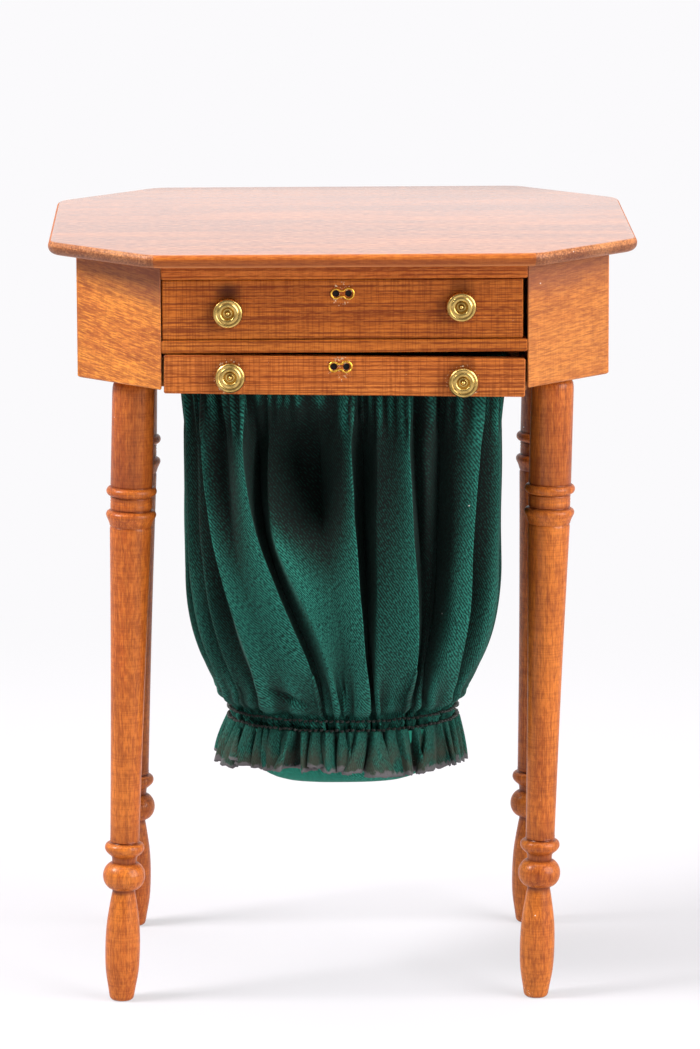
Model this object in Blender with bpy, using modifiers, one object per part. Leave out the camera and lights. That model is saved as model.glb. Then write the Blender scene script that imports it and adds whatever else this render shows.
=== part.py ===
"""Doll's-house work table at one twelfth scale, as an assembly of its separate pieces.

A canted-corner top and carcass on four turned legs, a drawer under the top, and below it a
second front that pulls out an open frame with a gathered cloth bag hanging from it.
Metres, +Z up, the front faces -Y, and the origin is on the floor under the middle of the top.
"""

import math

import bmesh
import bpy
from mathutils import Matrix, Vector

MM = 0.001

# Top and carcass
TABLE_HEIGHT = 60.0 * MM
TOP_WIDTH = 45.2 * MM
TOP_DEPTH = 39.3 * MM
TOP_CANT = 7.8 * MM
TOP_THICKNESS = 1.05 * MM
TOP_OVERHANG = 2.15 * MM
FILLET_HEIGHT = 0.34 * MM
FILLET_INSET = 0.42 * MM
NOSE_DEPTH = 0.30 * MM
NOSE_POINTS = 7
CARCASS_HEIGHT = 9.6 * MM
PANEL_THICKNESS = 1.2 * MM
EDGE_EASING = 0.1 * MM

# Front rails and drawer fronts
TOP_RAIL_HEIGHT = 1.15 * MM
DIVIDER_HEIGHT = 0.98 * MM
DIVIDER_DEPTH = 1.6 * MM
FRONT_THICKNESS = 1.2 * MM
DRAWER_FRONT_HEIGHT = 4.55 * MM
DRAWER_FRONT_GAP = 0.05 * MM
DRAWER_LEFT_GAP = 0.08 * MM
DRAWER_RIGHT_GAP = 0.36 * MM
DRAWER_RECESS = 0.12 * MM
BAG_FRONT_HEIGHT = 2.95 * MM
BAG_FRONT_DROP = 0.32 * MM
BAG_FRONT_SIDE_GAP = 0.2 * MM
BAG_FRONT_PROUD = 0.15 * MM
BAG_FRONT_TILT = math.radians(0.95)

# Drawer box, bag frame and the runners that carry them
DRAWER_SIDE_THICKNESS = 0.7 * MM
DRAWER_SIDE_HEIGHT = 3.9 * MM
DRAWER_SIDE_INSET = 0.1 * MM
DRAWER_BACK_HEIGHT = 3.1 * MM
DRAWER_BOTTOM_THICKNESS = 0.45 * MM
DRAWER_BOTTOM_LIFT = 0.12 * MM
DRAWER_STOP_GAP = 2.5 * MM
RUNNER_WIDTH = 1.3 * MM
DRAWER_RUNNER_HEIGHT = 0.9 * MM
BAG_RUNNER_HEIGHT = 0.5 * MM
BAG_RUNNER_SETBACK = 0.15 * MM
BAG_GUIDE_HEIGHT = 1.8 * MM
BAG_FRAME_THICKNESS = 0.85 * MM
BAG_FRAME_HEIGHT = 1.5 * MM
BAG_FRAME_BELOW_MIDDLE = 0.6 * MM
BAG_FRAME_SIDE_INSET = 0.15 * MM
BAG_FRAME_STOP_GAP = 6.0 * MM
RUNNING_GAP = 0.05 * MM
GLUE_GAP = 0.02 * MM

# Knobs and keyhole plates
KNOB_SPREAD = 0.636
KNOB_SIDE_SHIFT = 0.15 * MM
KNOB_DIAMETER = 2.36 * MM
KNOB_PROJECTION = 0.95 * MM
KNOB_NECK_DIAMETER = 1.1 * MM
KNOB_SHANK_DIAMETER = 0.6 * MM
KNOB_SHANK_LENGTH = 0.9 * MM
DRAWER_KNOB_RISES = (-0.18 * MM, 0.20 * MM)
BAG_KNOB_RISES = (-0.10 * MM, -0.30 * MM)
PLATE_EYE_DIAMETER = 1.0 * MM
PLATE_EYE_SPACING = 0.95 * MM
PLATE_HOLE_DIAMETER = 0.52 * MM
PLATE_WAIST = 0.62 * MM
PLATE_THICKNESS = 0.12 * MM
DRAWER_PLATE_SHIFT = -0.02 * MM
DRAWER_PLATE_RISE = 1.2 * MM
BAG_PLATE_SHIFT = -0.36 * MM
BAG_PLATE_RISE = 0.73 * MM
SOCKET_DEPTH = 0.6 * MM
DRILL_GAP = 0.04 * MM

# Turned legs: heights are from the floor, drops are from the shoulder
LEG_SETBACK = 2.6 * MM
LEG_SHIFT = 1.1 * MM
# Each leg was set by hand: its lean to the left, and how far it stands to the right of its place.
LEG_LEANS = {
    "front_left": math.radians(1.7),
    "front_right": math.radians(1.4),
    "back_left": math.radians(0.9),
    "back_right": math.radians(1.4),
}
LEG_SIDESTEPS = {"back_left": -0.15 * MM, "back_right": 0.42 * MM}
TENON_DIAMETER = 1.8 * MM
TENON_LENGTH = 4.5 * MM
LEG_TOP_DIAMETER = 3.34 * MM
COLLAR_DIAMETER = 3.84 * MM
COLLAR_HEIGHT = 0.86 * MM
COLLAR_DROPS = (8.75 * MM, 10.70 * MM)
SHAFT_FOOT_DIAMETER = 2.26 * MM
SHAFT_ENTASIS = 0.06
RING_HEIGHT = 12.25 * MM
RING_DIAMETER = 3.06 * MM
RING_THICKNESS = 1.2 * MM
NECK_DIAMETER = 1.94 * MM
BALL_HEIGHT = 10.2 * MM
BALL_DIAMETER = 3.42 * MM
BALL_THICKNESS = 1.9 * MM
VASE_HEIGHT = 3.7 * MM
VASE_DIAMETER = 2.84 * MM
FOOT_DIAMETER = 1.95 * MM
FOOT_ROUNDING = 0.3 * MM
BLOCK_MARGIN = 1.7 * MM

# Gathered bag
BAG_WALL = 0.5 * MM
BAG_TOP_ABOVE_FRAME = 0.1 * MM
BAG_LENGTH = 30.7 * MM
BAG_FULLNESS = 0.1 * MM
BAG_SHOULDER_LENGTH = 12.5 * MM
SHOULDER_ROUNDNESS = 0.6
BAG_CORNER_POWER = 5.0
# Lines of the bag's folds. Each has its place as a share of the half width, or of the half depth at the sides,
# and its depth in millimetres, at these shares of the way from the mouth to the neck.
FOLD_LEVELS = (0.0, 0.28, 0.66, 1.0)
FRONT_FOLDS = (
    ((-0.95, -0.947, -0.84, -0.89), (0.1, 0.2, 0.1, 0.1)),
    ((-0.92, -0.916, -0.776, -0.80), (0.3, 1.6, 1.5, 0.4)),
    ((-0.87, -0.868, -0.704, -0.69), (0.1, 0.0, 0.0, 0.1)),
    ((-0.79, -0.78, -0.584, -0.51), (0.3, 1.2, 0.3, 0.4)),
    ((-0.58, -0.576, -0.352, -0.22), (0.1, 0.0, 0.0, 0.1)),
    ((-0.52, -0.513, -0.328, -0.17), (0.3, 2.4, 1.4, 0.5)),
    ((-0.40, -0.426, -0.208, -0.09), (0.1, 1.3, 0.05, 0.1)),
    ((-0.22, -0.213, -0.08, 0.0), (0.3, 2.6, 0.9, 0.5)),
    ((0.05, 0.04, 0.104, 0.19), (0.1, 0.0, 0.0, 0.1)),
    ((0.11, 0.118, 0.148, 0.245), (0.3, 2.5, 2.5, 0.6)),
    ((0.18, 0.19, 0.184, 0.305), (0.1, 0.5, 0.3, 0.1)),
    ((0.38, 0.395, 0.456, 0.53), (0.1, 0.0, 0.0, 0.1)),
    ((0.43, 0.44, 0.496, 0.60), (0.3, 1.4, 2.2, 0.5)),
    ((0.50, 0.505, 0.544, 0.645), (0.1, 0.4, 1.9, 0.3)),
    ((0.61, 0.616, 0.592, 0.70), (0.3, 2.2, 2.2, 0.5)),
    ((0.75, 0.758, 0.704, 0.80), (0.1, 0.1, 0.0, 0.1)),
    ((0.82, 0.82, 0.768, 0.867), (0.1, 0.0, 0.0, 0.1)),
    ((0.87, 0.868, 0.832, 0.91), (0.3, 1.9, 1.7, 0.35)),
    ((0.95, 0.947, 0.90, 0.955), (0.1, 0.15, 0.1, 0.1)),
)
# Places of the plain folds at the sides and the back, crest and valley by turns from a crest.
SIDE_FOLDS = (-0.72, -0.56, -0.40, -0.24, -0.06, 0.10, 0.28, 0.45, 0.64)
BACK_FOLDS = (0.92, 0.80, 0.66, 0.50, 0.34, 0.18, 0.0, -0.18, -0.34, -0.50, -0.66, -0.80, -0.92)
CREST_DEPTHS = (0.1, 0.0, 0.0, 0.1)
VALLEY_DEPTHS = (0.3, 1.4, 1.3, 0.3)
NECK_WIDTH_SHARE = 0.715
NECK_DEPTH_SHARE = 0.512
NECK_BACK_SHIFT = 0.6 * MM
NECK_BAND = 1.4 * MM
RUFFLE_LENGTH = 3.3 * MM
RUFFLE_FLARE = 1.0 * MM
RUFFLE_WAVES = 18
RUFFLE_WAVE_DEPTH = 0.35 * MM
RUFFLE_WALL = 0.3 * MM
BASE_INSET = 0.75 * MM
BASE_DEPTH = 5.0 * MM
BASE_TAPER = 0.8
THREAD_DIAMETER = 0.3 * MM
THREAD_SPACING = 0.75 * MM
THREAD_LIFT = 0.25 * MM
SEAM_GAP = 0.06 * MM

# Fineness of the facets
LEG_SIDES = 16
KNOB_SIDES = 16
ARC_POINTS = 5
BASE_SIDES = 32
BAG_RINGS = 11
RUFFLE_SIDES = 72
RUFFLE_RINGS = 3
THREAD_POINTS = 32
HOLE_SIDES = 16

# Heights and half sizes that follow from the sizes above
TOP_UNDERSIDE = TABLE_HEIGHT - TOP_THICKNESS
CARCASS_BOTTOM = TOP_UNDERSIDE - CARCASS_HEIGHT
RAIL_BOTTOM = TOP_UNDERSIDE - TOP_RAIL_HEIGHT
DRAWER_FRONT_TOP = RAIL_BOTTOM - DRAWER_FRONT_GAP
DRAWER_FRONT_MIDDLE = DRAWER_FRONT_TOP - DRAWER_FRONT_HEIGHT / 2
DIVIDER_TOP = DRAWER_FRONT_TOP - DRAWER_FRONT_HEIGHT - DRAWER_FRONT_GAP
DIVIDER_BOTTOM = DIVIDER_TOP - DIVIDER_HEIGHT
BAG_FRONT_MIDDLE = DIVIDER_BOTTOM - BAG_FRONT_DROP - BAG_FRONT_HEIGHT / 2
CARCASS_HALF_WIDTH = TOP_WIDTH / 2 - TOP_OVERHANG
CARCASS_HALF_DEPTH = TOP_DEPTH / 2 - TOP_OVERHANG
CARCASS_CANT = TOP_CANT - TOP_OVERHANG * (2 - math.sqrt(2))
OPENING_HALF_WIDTH = CARCASS_HALF_WIDTH - CARCASS_CANT
KNOB_SPACING = KNOB_SPREAD * 2 * OPENING_HALF_WIDTH
FRONT_FACE = -CARCASS_HALF_DEPTH
BACK_INSIDE = CARCASS_HALF_DEPTH - PANEL_THICKNESS
MITRE_RUN = PANEL_THICKNESS * math.tan(math.pi / 8)
RUNNER_END = BACK_INSIDE - MITRE_RUN - RUNNING_GAP

# Colours and finishes: name, sRGB colour, roughness, metallic
WOOD_FINISH = ("oiled_cherry", (0.62, 0.31, 0.16), 0.45, 0.0)
BRASS_FINISH = ("turned_brass", (0.80, 0.66, 0.36), 0.28, 1.0)
CLOTH_FINISH = ("green_twill", (0.03, 0.24, 0.17), 0.85, 0.0)
THREAD_FINISH = ("dark_thread", (0.10, 0.09, 0.07), 0.8, 0.0)


def linear(value):
    return value / 12.92 if value <= 0.04045 else ((value + 0.055) / 1.055) ** 2.4


def make_material(finish):
    name, colour, roughness, metallic = finish
    material = bpy.data.materials.new(name)
    material.use_nodes = True
    shader = material.node_tree.nodes["Principled BSDF"]
    shader.inputs["Base Color"].default_value = (*[linear(c) for c in colour], 1.0)
    shader.inputs["Roughness"].default_value = roughness
    shader.inputs["Metallic"].default_value = metallic
    return material


def clear_scene():
    for old in list(bpy.data.objects):
        bpy.data.objects.remove(old, do_unlink=True)


def new_collection(name):
    collection = bpy.data.collections.new(name)
    bpy.context.scene.collection.children.link(collection)
    return collection


clear_scene()
PARTS = new_collection("work_table")
CUTTERS = new_collection("work_table_cutters")
WOOD = make_material(WOOD_FINISH)
BRASS = make_material(BRASS_FINISH)
CLOTH = make_material(CLOTH_FINISH)
THREAD = make_material(THREAD_FINISH)


# Building helpers


def place(data, name, material, parent=None, collection=None):
    obj = bpy.data.objects.new(name, data)
    data.materials.append(material)
    obj.parent = parent
    (collection or PARTS).objects.link(obj)
    return obj


def place_mesh(mesh_edit, name, material, parent=None, collection=None):
    bmesh.ops.recalc_face_normals(mesh_edit, faces=mesh_edit.faces)
    mesh = bpy.data.meshes.new(name)
    mesh_edit.to_mesh(mesh)
    mesh_edit.free()
    return place(mesh, name, material, parent, collection)


def empty(name, location, parent=None):
    obj = bpy.data.objects.new(name, None)
    obj.location = location
    obj.parent = parent
    obj.empty_display_size = 2 * MM
    PARTS.objects.link(obj)
    return obj


def box(name, low, high, material, parent=None):
    low, high = Vector(low), Vector(high)
    edit = bmesh.new()
    bmesh.ops.create_cube(edit, size=1.0)
    bmesh.ops.scale(edit, vec=high - low, verts=edit.verts)
    bmesh.ops.translate(edit, vec=(low + high) / 2, verts=edit.verts)
    return place_mesh(edit, name, material, parent)


def prism(name, outline, low, high, material, parent=None):
    """A flat outline in X and Y, extruded from one height to another."""
    edit = bmesh.new()
    face = edit.faces.new([edit.verts.new((x, y, low)) for x, y in outline])
    grown = bmesh.ops.extrude_face_region(edit, geom=[face])["geom"]
    moved = [item for item in grown if isinstance(item, bmesh.types.BMVert)]
    bmesh.ops.translate(edit, vec=(0, 0, high - low), verts=moved)
    return place_mesh(edit, name, material, parent)


def turned(name, profile, sides, material, parent=None):
    """A profile of (radius, height) points, listed from the top down, turned about Z."""
    edit = bmesh.new()
    points = [edit.verts.new((radius, 0, height)) for radius, height in profile]
    for first, second in zip(points, points[1:]):
        edit.edges.new((first, second))
    mesh = bpy.data.meshes.new(name)
    edit.to_mesh(mesh)
    edit.free()
    obj = place(mesh, name, material, parent)
    screw = obj.modifiers.new("turn", "SCREW")
    screw.axis = "Z"
    screw.steps = sides
    screw.render_steps = sides
    screw.use_merge_vertices = True
    screw.merge_threshold = 1e-7
    screw.use_smooth_shade = True
    return obj


def drill(target, centre, diameter, depth, parent):
    """Cuts a round hole into a drawer front, from its face towards the back."""
    edit = bmesh.new()
    start = -FRONT_THICKNESS
    bmesh.ops.create_cone(
        edit,
        cap_ends=True,
        segments=HOLE_SIDES,
        radius1=diameter / 2,
        radius2=diameter / 2,
        depth=depth - start,
    )
    bmesh.ops.rotate(edit, matrix=Matrix.Rotation(math.pi / 2, 3, "X"), verts=edit.verts)
    middle = Vector((centre[0], (start + depth) / 2, centre[1]))
    bmesh.ops.translate(edit, vec=middle, verts=edit.verts)
    cut(target, place_mesh(edit, target.name + "_drill", WOOD, parent, CUTTERS))


def cut(target, cutter):
    cutter.hide_render = True
    cutter.display_type = "WIRE"
    modifier = target.modifiers.new(cutter.name, "BOOLEAN")
    modifier.operation = "DIFFERENCE"
    modifier.solver = "EXACT"
    modifier.object = cutter


def loft(name, rings, material, parent=None, capped=(True, True)):
    """Joins rings of equal count point by point, and caps the first and the last where asked."""
    edit = bmesh.new()
    loops = [[edit.verts.new(point) for point in ring] for ring in rings]
    for first, second in zip(loops, loops[1:]):
        for index, corner in enumerate(first):
            edit.faces.new((first[index - 1], corner, second[index], second[index - 1]))
    for verts, wanted in zip((loops[0], loops[-1]), capped):
        if wanted:
            edit.faces.new(verts)
    bmesh.ops.triangulate(edit, faces=edit.faces)
    return place_mesh(edit, name, material, parent)


def ease_edges(obj):
    """Takes the sharpness off a board's edges."""
    bevel = obj.modifiers.new("eased_edges", "BEVEL")
    bevel.width = EDGE_EASING
    bevel.segments = 1
    bevel.limit_method = "ANGLE"
    return obj


def thicken(obj, wall):
    """Gives an open skin its thickness, on the inside."""
    solidify = obj.modifiers.new("wall", "SOLIDIFY")
    solidify.thickness = wall
    solidify.offset = -1.0
    solidify.use_even_offset = True


def half_round(middle, half_height, inner, outer):
    """Profile points of a half-round bead, from its top to its bottom."""
    for step in range(ARC_POINTS + 1):
        angle = math.pi * step / ARC_POINTS
        yield inner + (outer - inner) * math.sin(angle), middle + half_height * math.cos(angle)


def eased(top, bottom):
    """Profile points of a smooth S-curve between two (radius, height) points."""
    for step in range(ARC_POINTS + 1):
        share = step / ARC_POINTS
        bend = (1 - math.cos(math.pi * share)) / 2
        yield top[0] + (bottom[0] - top[0]) * bend, top[1] + (bottom[1] - top[1]) * share


def canted_corners(inset):
    """The carcass outline moved in, anticlockwise from the front left."""
    half_width = CARCASS_HALF_WIDTH - inset
    half_depth = CARCASS_HALF_DEPTH - inset
    cant = CARCASS_CANT - inset * (2 - math.sqrt(2))
    short_x, short_y = half_width - cant, half_depth - cant
    return [
        Vector(corner)
        for corner in (
            (-short_x, -half_depth),
            (short_x, -half_depth),
            (half_width, -short_y),
            (half_width, short_y),
            (short_x, half_depth),
            (-short_x, half_depth),
            (-half_width, short_y),
            (-half_width, -short_y),
        )
    ]


# Top and carcass


def top_edge_profile():
    """(inset from the top's widest line, height above the underside), from the bottom up."""
    yield FILLET_INSET, 0.0
    yield FILLET_INSET, FILLET_HEIGHT
    rise = (TOP_THICKNESS - FILLET_HEIGHT) / 2
    for step in range(NOSE_POINTS):
        angle = math.pi * (step / (NOSE_POINTS - 1) - 0.5)
        yield NOSE_DEPTH * (1 - math.cos(angle)), FILLET_HEIGHT + rise * (1 + math.sin(angle))


def make_top():
    """A canted slab with a fillet under a round nosing all the way round."""
    rings = []
    for inset, height in top_edge_profile():
        level = Vector((0, 0, TOP_UNDERSIDE + height))
        rings.append([corner.to_3d() + level for corner in canted_corners(inset - TOP_OVERHANG)])
    loft("table_top", rings, WOOD)


def make_carcass_panels():
    outer = canted_corners(0.0)
    inner = canted_corners(PANEL_THICKNESS)
    names = {
        1: "front_right_cant",
        2: "right_side",
        3: "back_right_cant",
        4: "back_panel",
        5: "back_left_cant",
        6: "left_side",
        7: "front_left_cant",
    }
    for index, name in names.items():
        after = (index + 1) % len(outer)
        along = (outer[after] - outer[index]).normalized() * (GLUE_GAP / 2)
        start = [inner[index] + along, outer[index] + along]
        end = [outer[after] - along, inner[after] - along]
        if index == 1:
            start = [inner[1] + Vector((MITRE_RUN, MITRE_RUN)), outer[1]]
        if index == 7:
            end = [outer[0], inner[0] + Vector((-MITRE_RUN, MITRE_RUN))]
        ease_edges(prism(name, start + end, CARCASS_BOTTOM, TOP_UNDERSIDE - GLUE_GAP, WOOD))


def make_front_rails():
    half = OPENING_HALF_WIDTH - GLUE_GAP
    top = TOP_UNDERSIDE - GLUE_GAP
    back = FRONT_FACE + FRONT_THICKNESS
    ease_edges(box("top_rail", (-half, FRONT_FACE, RAIL_BOTTOM), (half, back, top), WOOD))
    back = FRONT_FACE + DIVIDER_DEPTH
    low = (-half, FRONT_FACE, DIVIDER_BOTTOM)
    ease_edges(box("divider_rail", low, (half, back, DIVIDER_TOP), WOOD))


def leg_axis(corner):
    """Where a leg's axis meets the carcass."""
    side, end = CORNERS[corner]
    middle_x = CARCASS_HALF_WIDTH - CARCASS_CANT / 2
    middle_y = CARCASS_HALF_DEPTH - CARCASS_CANT / 2
    slant = math.sqrt(0.5)
    x = middle_x + (LEG_SHIFT - LEG_SETBACK) * slant
    y = middle_y - (LEG_SHIFT + LEG_SETBACK) * slant
    return side * x + LEG_SIDESTEPS.get(corner, 0.0), end * y


def leg_shoulder(lean):
    """Height of a leg's shoulder, where the leaning rim just clears the carcass."""
    return CARCASS_BOTTOM - GLUE_GAP - LEG_TOP_DIAMETER / 2 * math.sin(lean)


def leg_floor(lean):
    """Where the floor lies along a leaning leg, from its shoulder."""
    return -(leg_shoulder(lean) - FOOT_DIAMETER / 2 * math.sin(lean)) / math.cos(lean)


CORNERS = {
    "front_left": (-1, -1),
    "front_right": (1, -1),
    "back_left": (-1, 1),
    "back_right": (1, 1),
}


def make_corner_blocks():
    """A glue block fills each canted corner and holds the tenon of its leg."""
    inner = canted_corners(PANEL_THICKNESS + GLUE_GAP)
    corner_sum = inner[2].x - inner[2].y
    inside = OPENING_HALF_WIDTH + GLUE_GAP
    outside = inner[2].x
    for corner, (side, end) in CORNERS.items():
        x, y = leg_axis(corner)
        rear = abs(y) - TENON_DIAMETER / 2 - BLOCK_MARGIN
        outline = [
            (side * inside, end * rear),
            (side * outside, end * rear),
            (side * outside, end * (corner_sum - outside)),
            (side * inside, end * (corner_sum - inside)),
        ]
        name = corner + "_block"
        block = prism(name, outline, CARCASS_BOTTOM, TOP_UNDERSIDE - GLUE_GAP, WOOD)
        hole = turned(
            name + "_tenon_hole",
            [
                (0.0, TENON_LENGTH + DRILL_GAP),
                (TENON_DIAMETER / 2 + DRILL_GAP, TENON_LENGTH + DRILL_GAP),
                (TENON_DIAMETER / 2 + DRILL_GAP, -TENON_LENGTH),
                (0.0, -TENON_LENGTH),
            ],
            LEG_SIDES,
            WOOD,
        )
        PARTS.objects.unlink(hole)
        CUTTERS.objects.link(hole)
        hole.location = (x, y, leg_shoulder(LEG_LEANS[corner]))
        hole.rotation_euler = (0, LEG_LEANS[corner], 0)
        cut(block, hole)


def make_drawer_runners():
    """Strips from the divider to near the back panel, glued to the corner blocks' inner faces."""
    front = FRONT_FACE + DIVIDER_DEPTH + GLUE_GAP
    outside = OPENING_HALF_WIDTH - GLUE_GAP
    for name, side in (("left", -1), ("right", 1)):
        xs = sorted((side * outside, side * (outside - RUNNER_WIDTH)))
        low = (xs[0], front, DIVIDER_TOP - DRAWER_RUNNER_HEIGHT)
        box(f"drawer_runner_{name}", low, (xs[1], RUNNER_END, DIVIDER_TOP), WOOD)


# Turned legs


def leg_profile(floor):
    """(radius, height from the shoulder), from the tenon's end down to the foot on the floor."""
    top, foot, neck = LEG_TOP_DIAMETER / 2, SHAFT_FOOT_DIAMETER / 2, NECK_DIAMETER / 2
    yield 0.0, TENON_LENGTH
    yield TENON_DIAMETER / 2, TENON_LENGTH
    yield TENON_DIAMETER / 2, 0.0
    yield top, 0.0
    for drop in COLLAR_DROPS:
        yield from half_round(-drop, COLLAR_HEIGHT / 2, top, COLLAR_DIAMETER / 2)
    shaft_top = -COLLAR_DROPS[-1] - COLLAR_HEIGHT / 2
    ring = floor + RING_HEIGHT
    shaft_end = ring + RING_THICKNESS / 2
    for step in range(1, ARC_POINTS):
        share = step / ARC_POINTS
        swell = SHAFT_ENTASIS * foot * math.sin(math.pi * share)
        yield top + (foot - top) * share - swell, shaft_top + (shaft_end - shaft_top) * share
    yield foot, shaft_end
    yield from list(half_round(ring, RING_THICKNESS / 2, neck, RING_DIAMETER / 2))[1:]
    ball = floor + BALL_HEIGHT
    yield from half_round(ball, BALL_THICKNESS / 2, neck, BALL_DIAMETER / 2)
    vase = floor + VASE_HEIGHT
    vase_top = ball - BALL_THICKNESS / 2
    yield from list(eased((neck, vase_top), (VASE_DIAMETER / 2, vase)))[1:]
    heel = floor + FOOT_ROUNDING
    for step in range(1, ARC_POINTS + 1):
        angle = math.pi / 2 * step / ARC_POINTS
        radius = FOOT_DIAMETER / 2 + (VASE_DIAMETER - FOOT_DIAMETER) / 2 * math.cos(angle)
        yield radius, vase + (heel - vase) * math.sin(angle) ** 0.9
    yield FOOT_DIAMETER / 2 - FOOT_ROUNDING, floor
    yield 0.0, floor


def make_legs():
    for corner, lean in LEG_LEANS.items():
        profile = list(leg_profile(leg_floor(lean)))
        leg = turned(corner + "_leg", profile, LEG_SIDES, WOOD)
        leg.location = (*leg_axis(corner), leg_shoulder(lean))
        leg.rotation_euler = (0, lean, 0)


# Brass fittings


def knob_profile():
    """(radius, distance out from the drawer front), from the tip back to the shank's end."""
    rim, neck = KNOB_DIAMETER / 2, KNOB_NECK_DIAMETER / 2
    face = KNOB_PROJECTION * 0.78
    yield 0.0, KNOB_PROJECTION
    yield rim * 0.10, KNOB_PROJECTION * 0.97
    yield rim * 0.20, KNOB_PROJECTION * 0.80
    yield rim * 0.34, KNOB_PROJECTION * 0.66
    yield rim * 0.50, KNOB_PROJECTION * 0.70
    yield rim * 0.60, face
    yield rim * 0.74, face
    yield rim * 0.82, KNOB_PROJECTION * 0.68
    yield rim * 0.92, KNOB_PROJECTION * 0.72
    yield rim * 0.99, KNOB_PROJECTION * 0.64
    yield rim, KNOB_PROJECTION * 0.52
    yield rim * 0.90, KNOB_PROJECTION * 0.40
    yield neck, KNOB_PROJECTION * 0.30
    yield neck, 0.0
    yield KNOB_SHANK_DIAMETER / 2, 0.0
    yield KNOB_SHANK_DIAMETER / 2, -KNOB_SHANK_LENGTH
    yield 0.0, -KNOB_SHANK_LENGTH


def plate_outline():
    """Two round eyes joined by a narrower waist, anticlockwise."""
    radius = PLATE_EYE_DIAMETER / 2
    away = PLATE_EYE_SPACING / 2
    open_angle = math.asin(PLATE_WAIST / PLATE_EYE_DIAMETER)
    points = []
    for side in (0.0, math.pi):
        for step in range(2 * ARC_POINTS + 1):
            turn = (math.pi - open_angle) * (step / ARC_POINTS - 1)
            angle = side + turn
            points.append((away * math.cos(side) + radius * math.cos(angle), radius * math.sin(angle)))
    return points


def circle_points(centre, radius, count):
    angles = [2 * math.pi * step / count for step in range(count)]
    return [(centre + radius * math.cos(a), radius * math.sin(a)) for a in angles]


def make_plate(name, shift, rise, parent):
    """A flat double-eyed keyhole plate with both its holes open."""
    curve = bpy.data.curves.new(name, "CURVE")
    curve.dimensions = "2D"
    curve.fill_mode = "BOTH"
    curve.extrude = PLATE_THICKNESS / 2
    holes = [
        circle_points(side * PLATE_EYE_SPACING / 2, PLATE_HOLE_DIAMETER / 2, HOLE_SIDES)
        for side in (-1, 1)
    ]
    for outline in [plate_outline()] + holes:
        spline = curve.splines.new("POLY")
        spline.points.add(len(outline) - 1)
        spline.use_cyclic_u = True
        for point, (x, y) in zip(spline.points, outline):
            point.co = (x, y, 0.0, 1.0)
    plate = place(curve, name, BRASS, parent)
    plate.rotation_euler = (math.pi / 2, 0, 0)
    plate.location = (shift, -GLUE_GAP - PLATE_THICKNESS / 2, rise)


def fit_brass(prefix, front, knob_rises, plate_shift, plate_rise, parent):
    """Two knobs on shanks let into the front, and a keyhole plate over two drilled sockets."""
    for name, side, rise in zip(("left", "right"), (-1, 1), knob_rises):
        x = KNOB_SIDE_SHIFT + side * KNOB_SPACING / 2
        knob = turned(f"{prefix}_knob_{name}", list(knob_profile()), KNOB_SIDES, BRASS, parent)
        knob.rotation_euler = (math.pi / 2, 0, 0)
        knob.location = (x, -GLUE_GAP, rise)
        width = KNOB_SHANK_DIAMETER + 2 * DRILL_GAP
        drill(front, (x, rise), width, KNOB_SHANK_LENGTH + DRILL_GAP, parent)
        socket_x = plate_shift + side * PLATE_EYE_SPACING / 2
        drill(front, (socket_x, plate_rise), PLATE_HOLE_DIAMETER, SOCKET_DEPTH, parent)
    make_plate(f"{prefix}_keyhole_plate", plate_shift, plate_rise, parent)


# Upper drawer, in the frame of its front face


def make_drawer():
    shift = (DRAWER_LEFT_GAP - DRAWER_RIGHT_GAP) / 2
    face = FRONT_FACE + DRAWER_RECESS
    drawer = empty("drawer", (shift, face, DRAWER_FRONT_MIDDLE))
    half = OPENING_HALF_WIDTH - (DRAWER_LEFT_GAP + DRAWER_RIGHT_GAP) / 2
    height = DRAWER_FRONT_HEIGHT / 2
    low, high = (-half, 0, -height), (half, FRONT_THICKNESS, height)
    front = ease_edges(box("drawer_front", low, high, WOOD, drawer))
    fit_brass("drawer", front, DRAWER_KNOB_RISES, DRAWER_PLATE_SHIFT, DRAWER_PLATE_RISE, drawer)

    start = FRONT_THICKNESS + GLUE_GAP
    end = BACK_INSIDE - DRAWER_STOP_GAP - face
    floor = -height - DRAWER_FRONT_GAP + RUNNING_GAP
    outside = half - DRAWER_SIDE_INSET
    inside = outside - DRAWER_SIDE_THICKNESS
    for name, side in (("left", -1), ("right", 1)):
        xs = sorted((side * outside, side * inside))
        top = floor + DRAWER_SIDE_HEIGHT
        ease_edges(box(f"drawer_{name}_side", (xs[0], start, floor), (xs[1], end, top), WOOD, drawer))
    board = inside - GLUE_GAP
    bottom = floor + DRAWER_BOTTOM_LIFT
    bottom_top = bottom + DRAWER_BOTTOM_THICKNESS
    box("drawer_bottom", (-board, start, bottom), (board, end, bottom_top), WOOD, drawer)
    back_foot = bottom_top + GLUE_GAP
    back_low = (-board, end - DRAWER_SIDE_THICKNESS, back_foot)
    box("drawer_back", back_low, (board, end, back_foot + DRAWER_BACK_HEIGHT), WOOD, drawer)


# Bag frame, in the frame of its front face, which hangs lower at the right


BAG_FACE = FRONT_FACE - BAG_FRONT_PROUD
BAG_FRAME_END = BACK_INSIDE - BAG_FRAME_STOP_GAP
BAG_FRAME_OUTSIDE = OPENING_HALF_WIDTH - BAG_FRONT_SIDE_GAP - BAG_FRAME_SIDE_INSET
BAG_FRAME_INSIDE = BAG_FRAME_OUTSIDE - BAG_FRAME_THICKNESS


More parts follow.
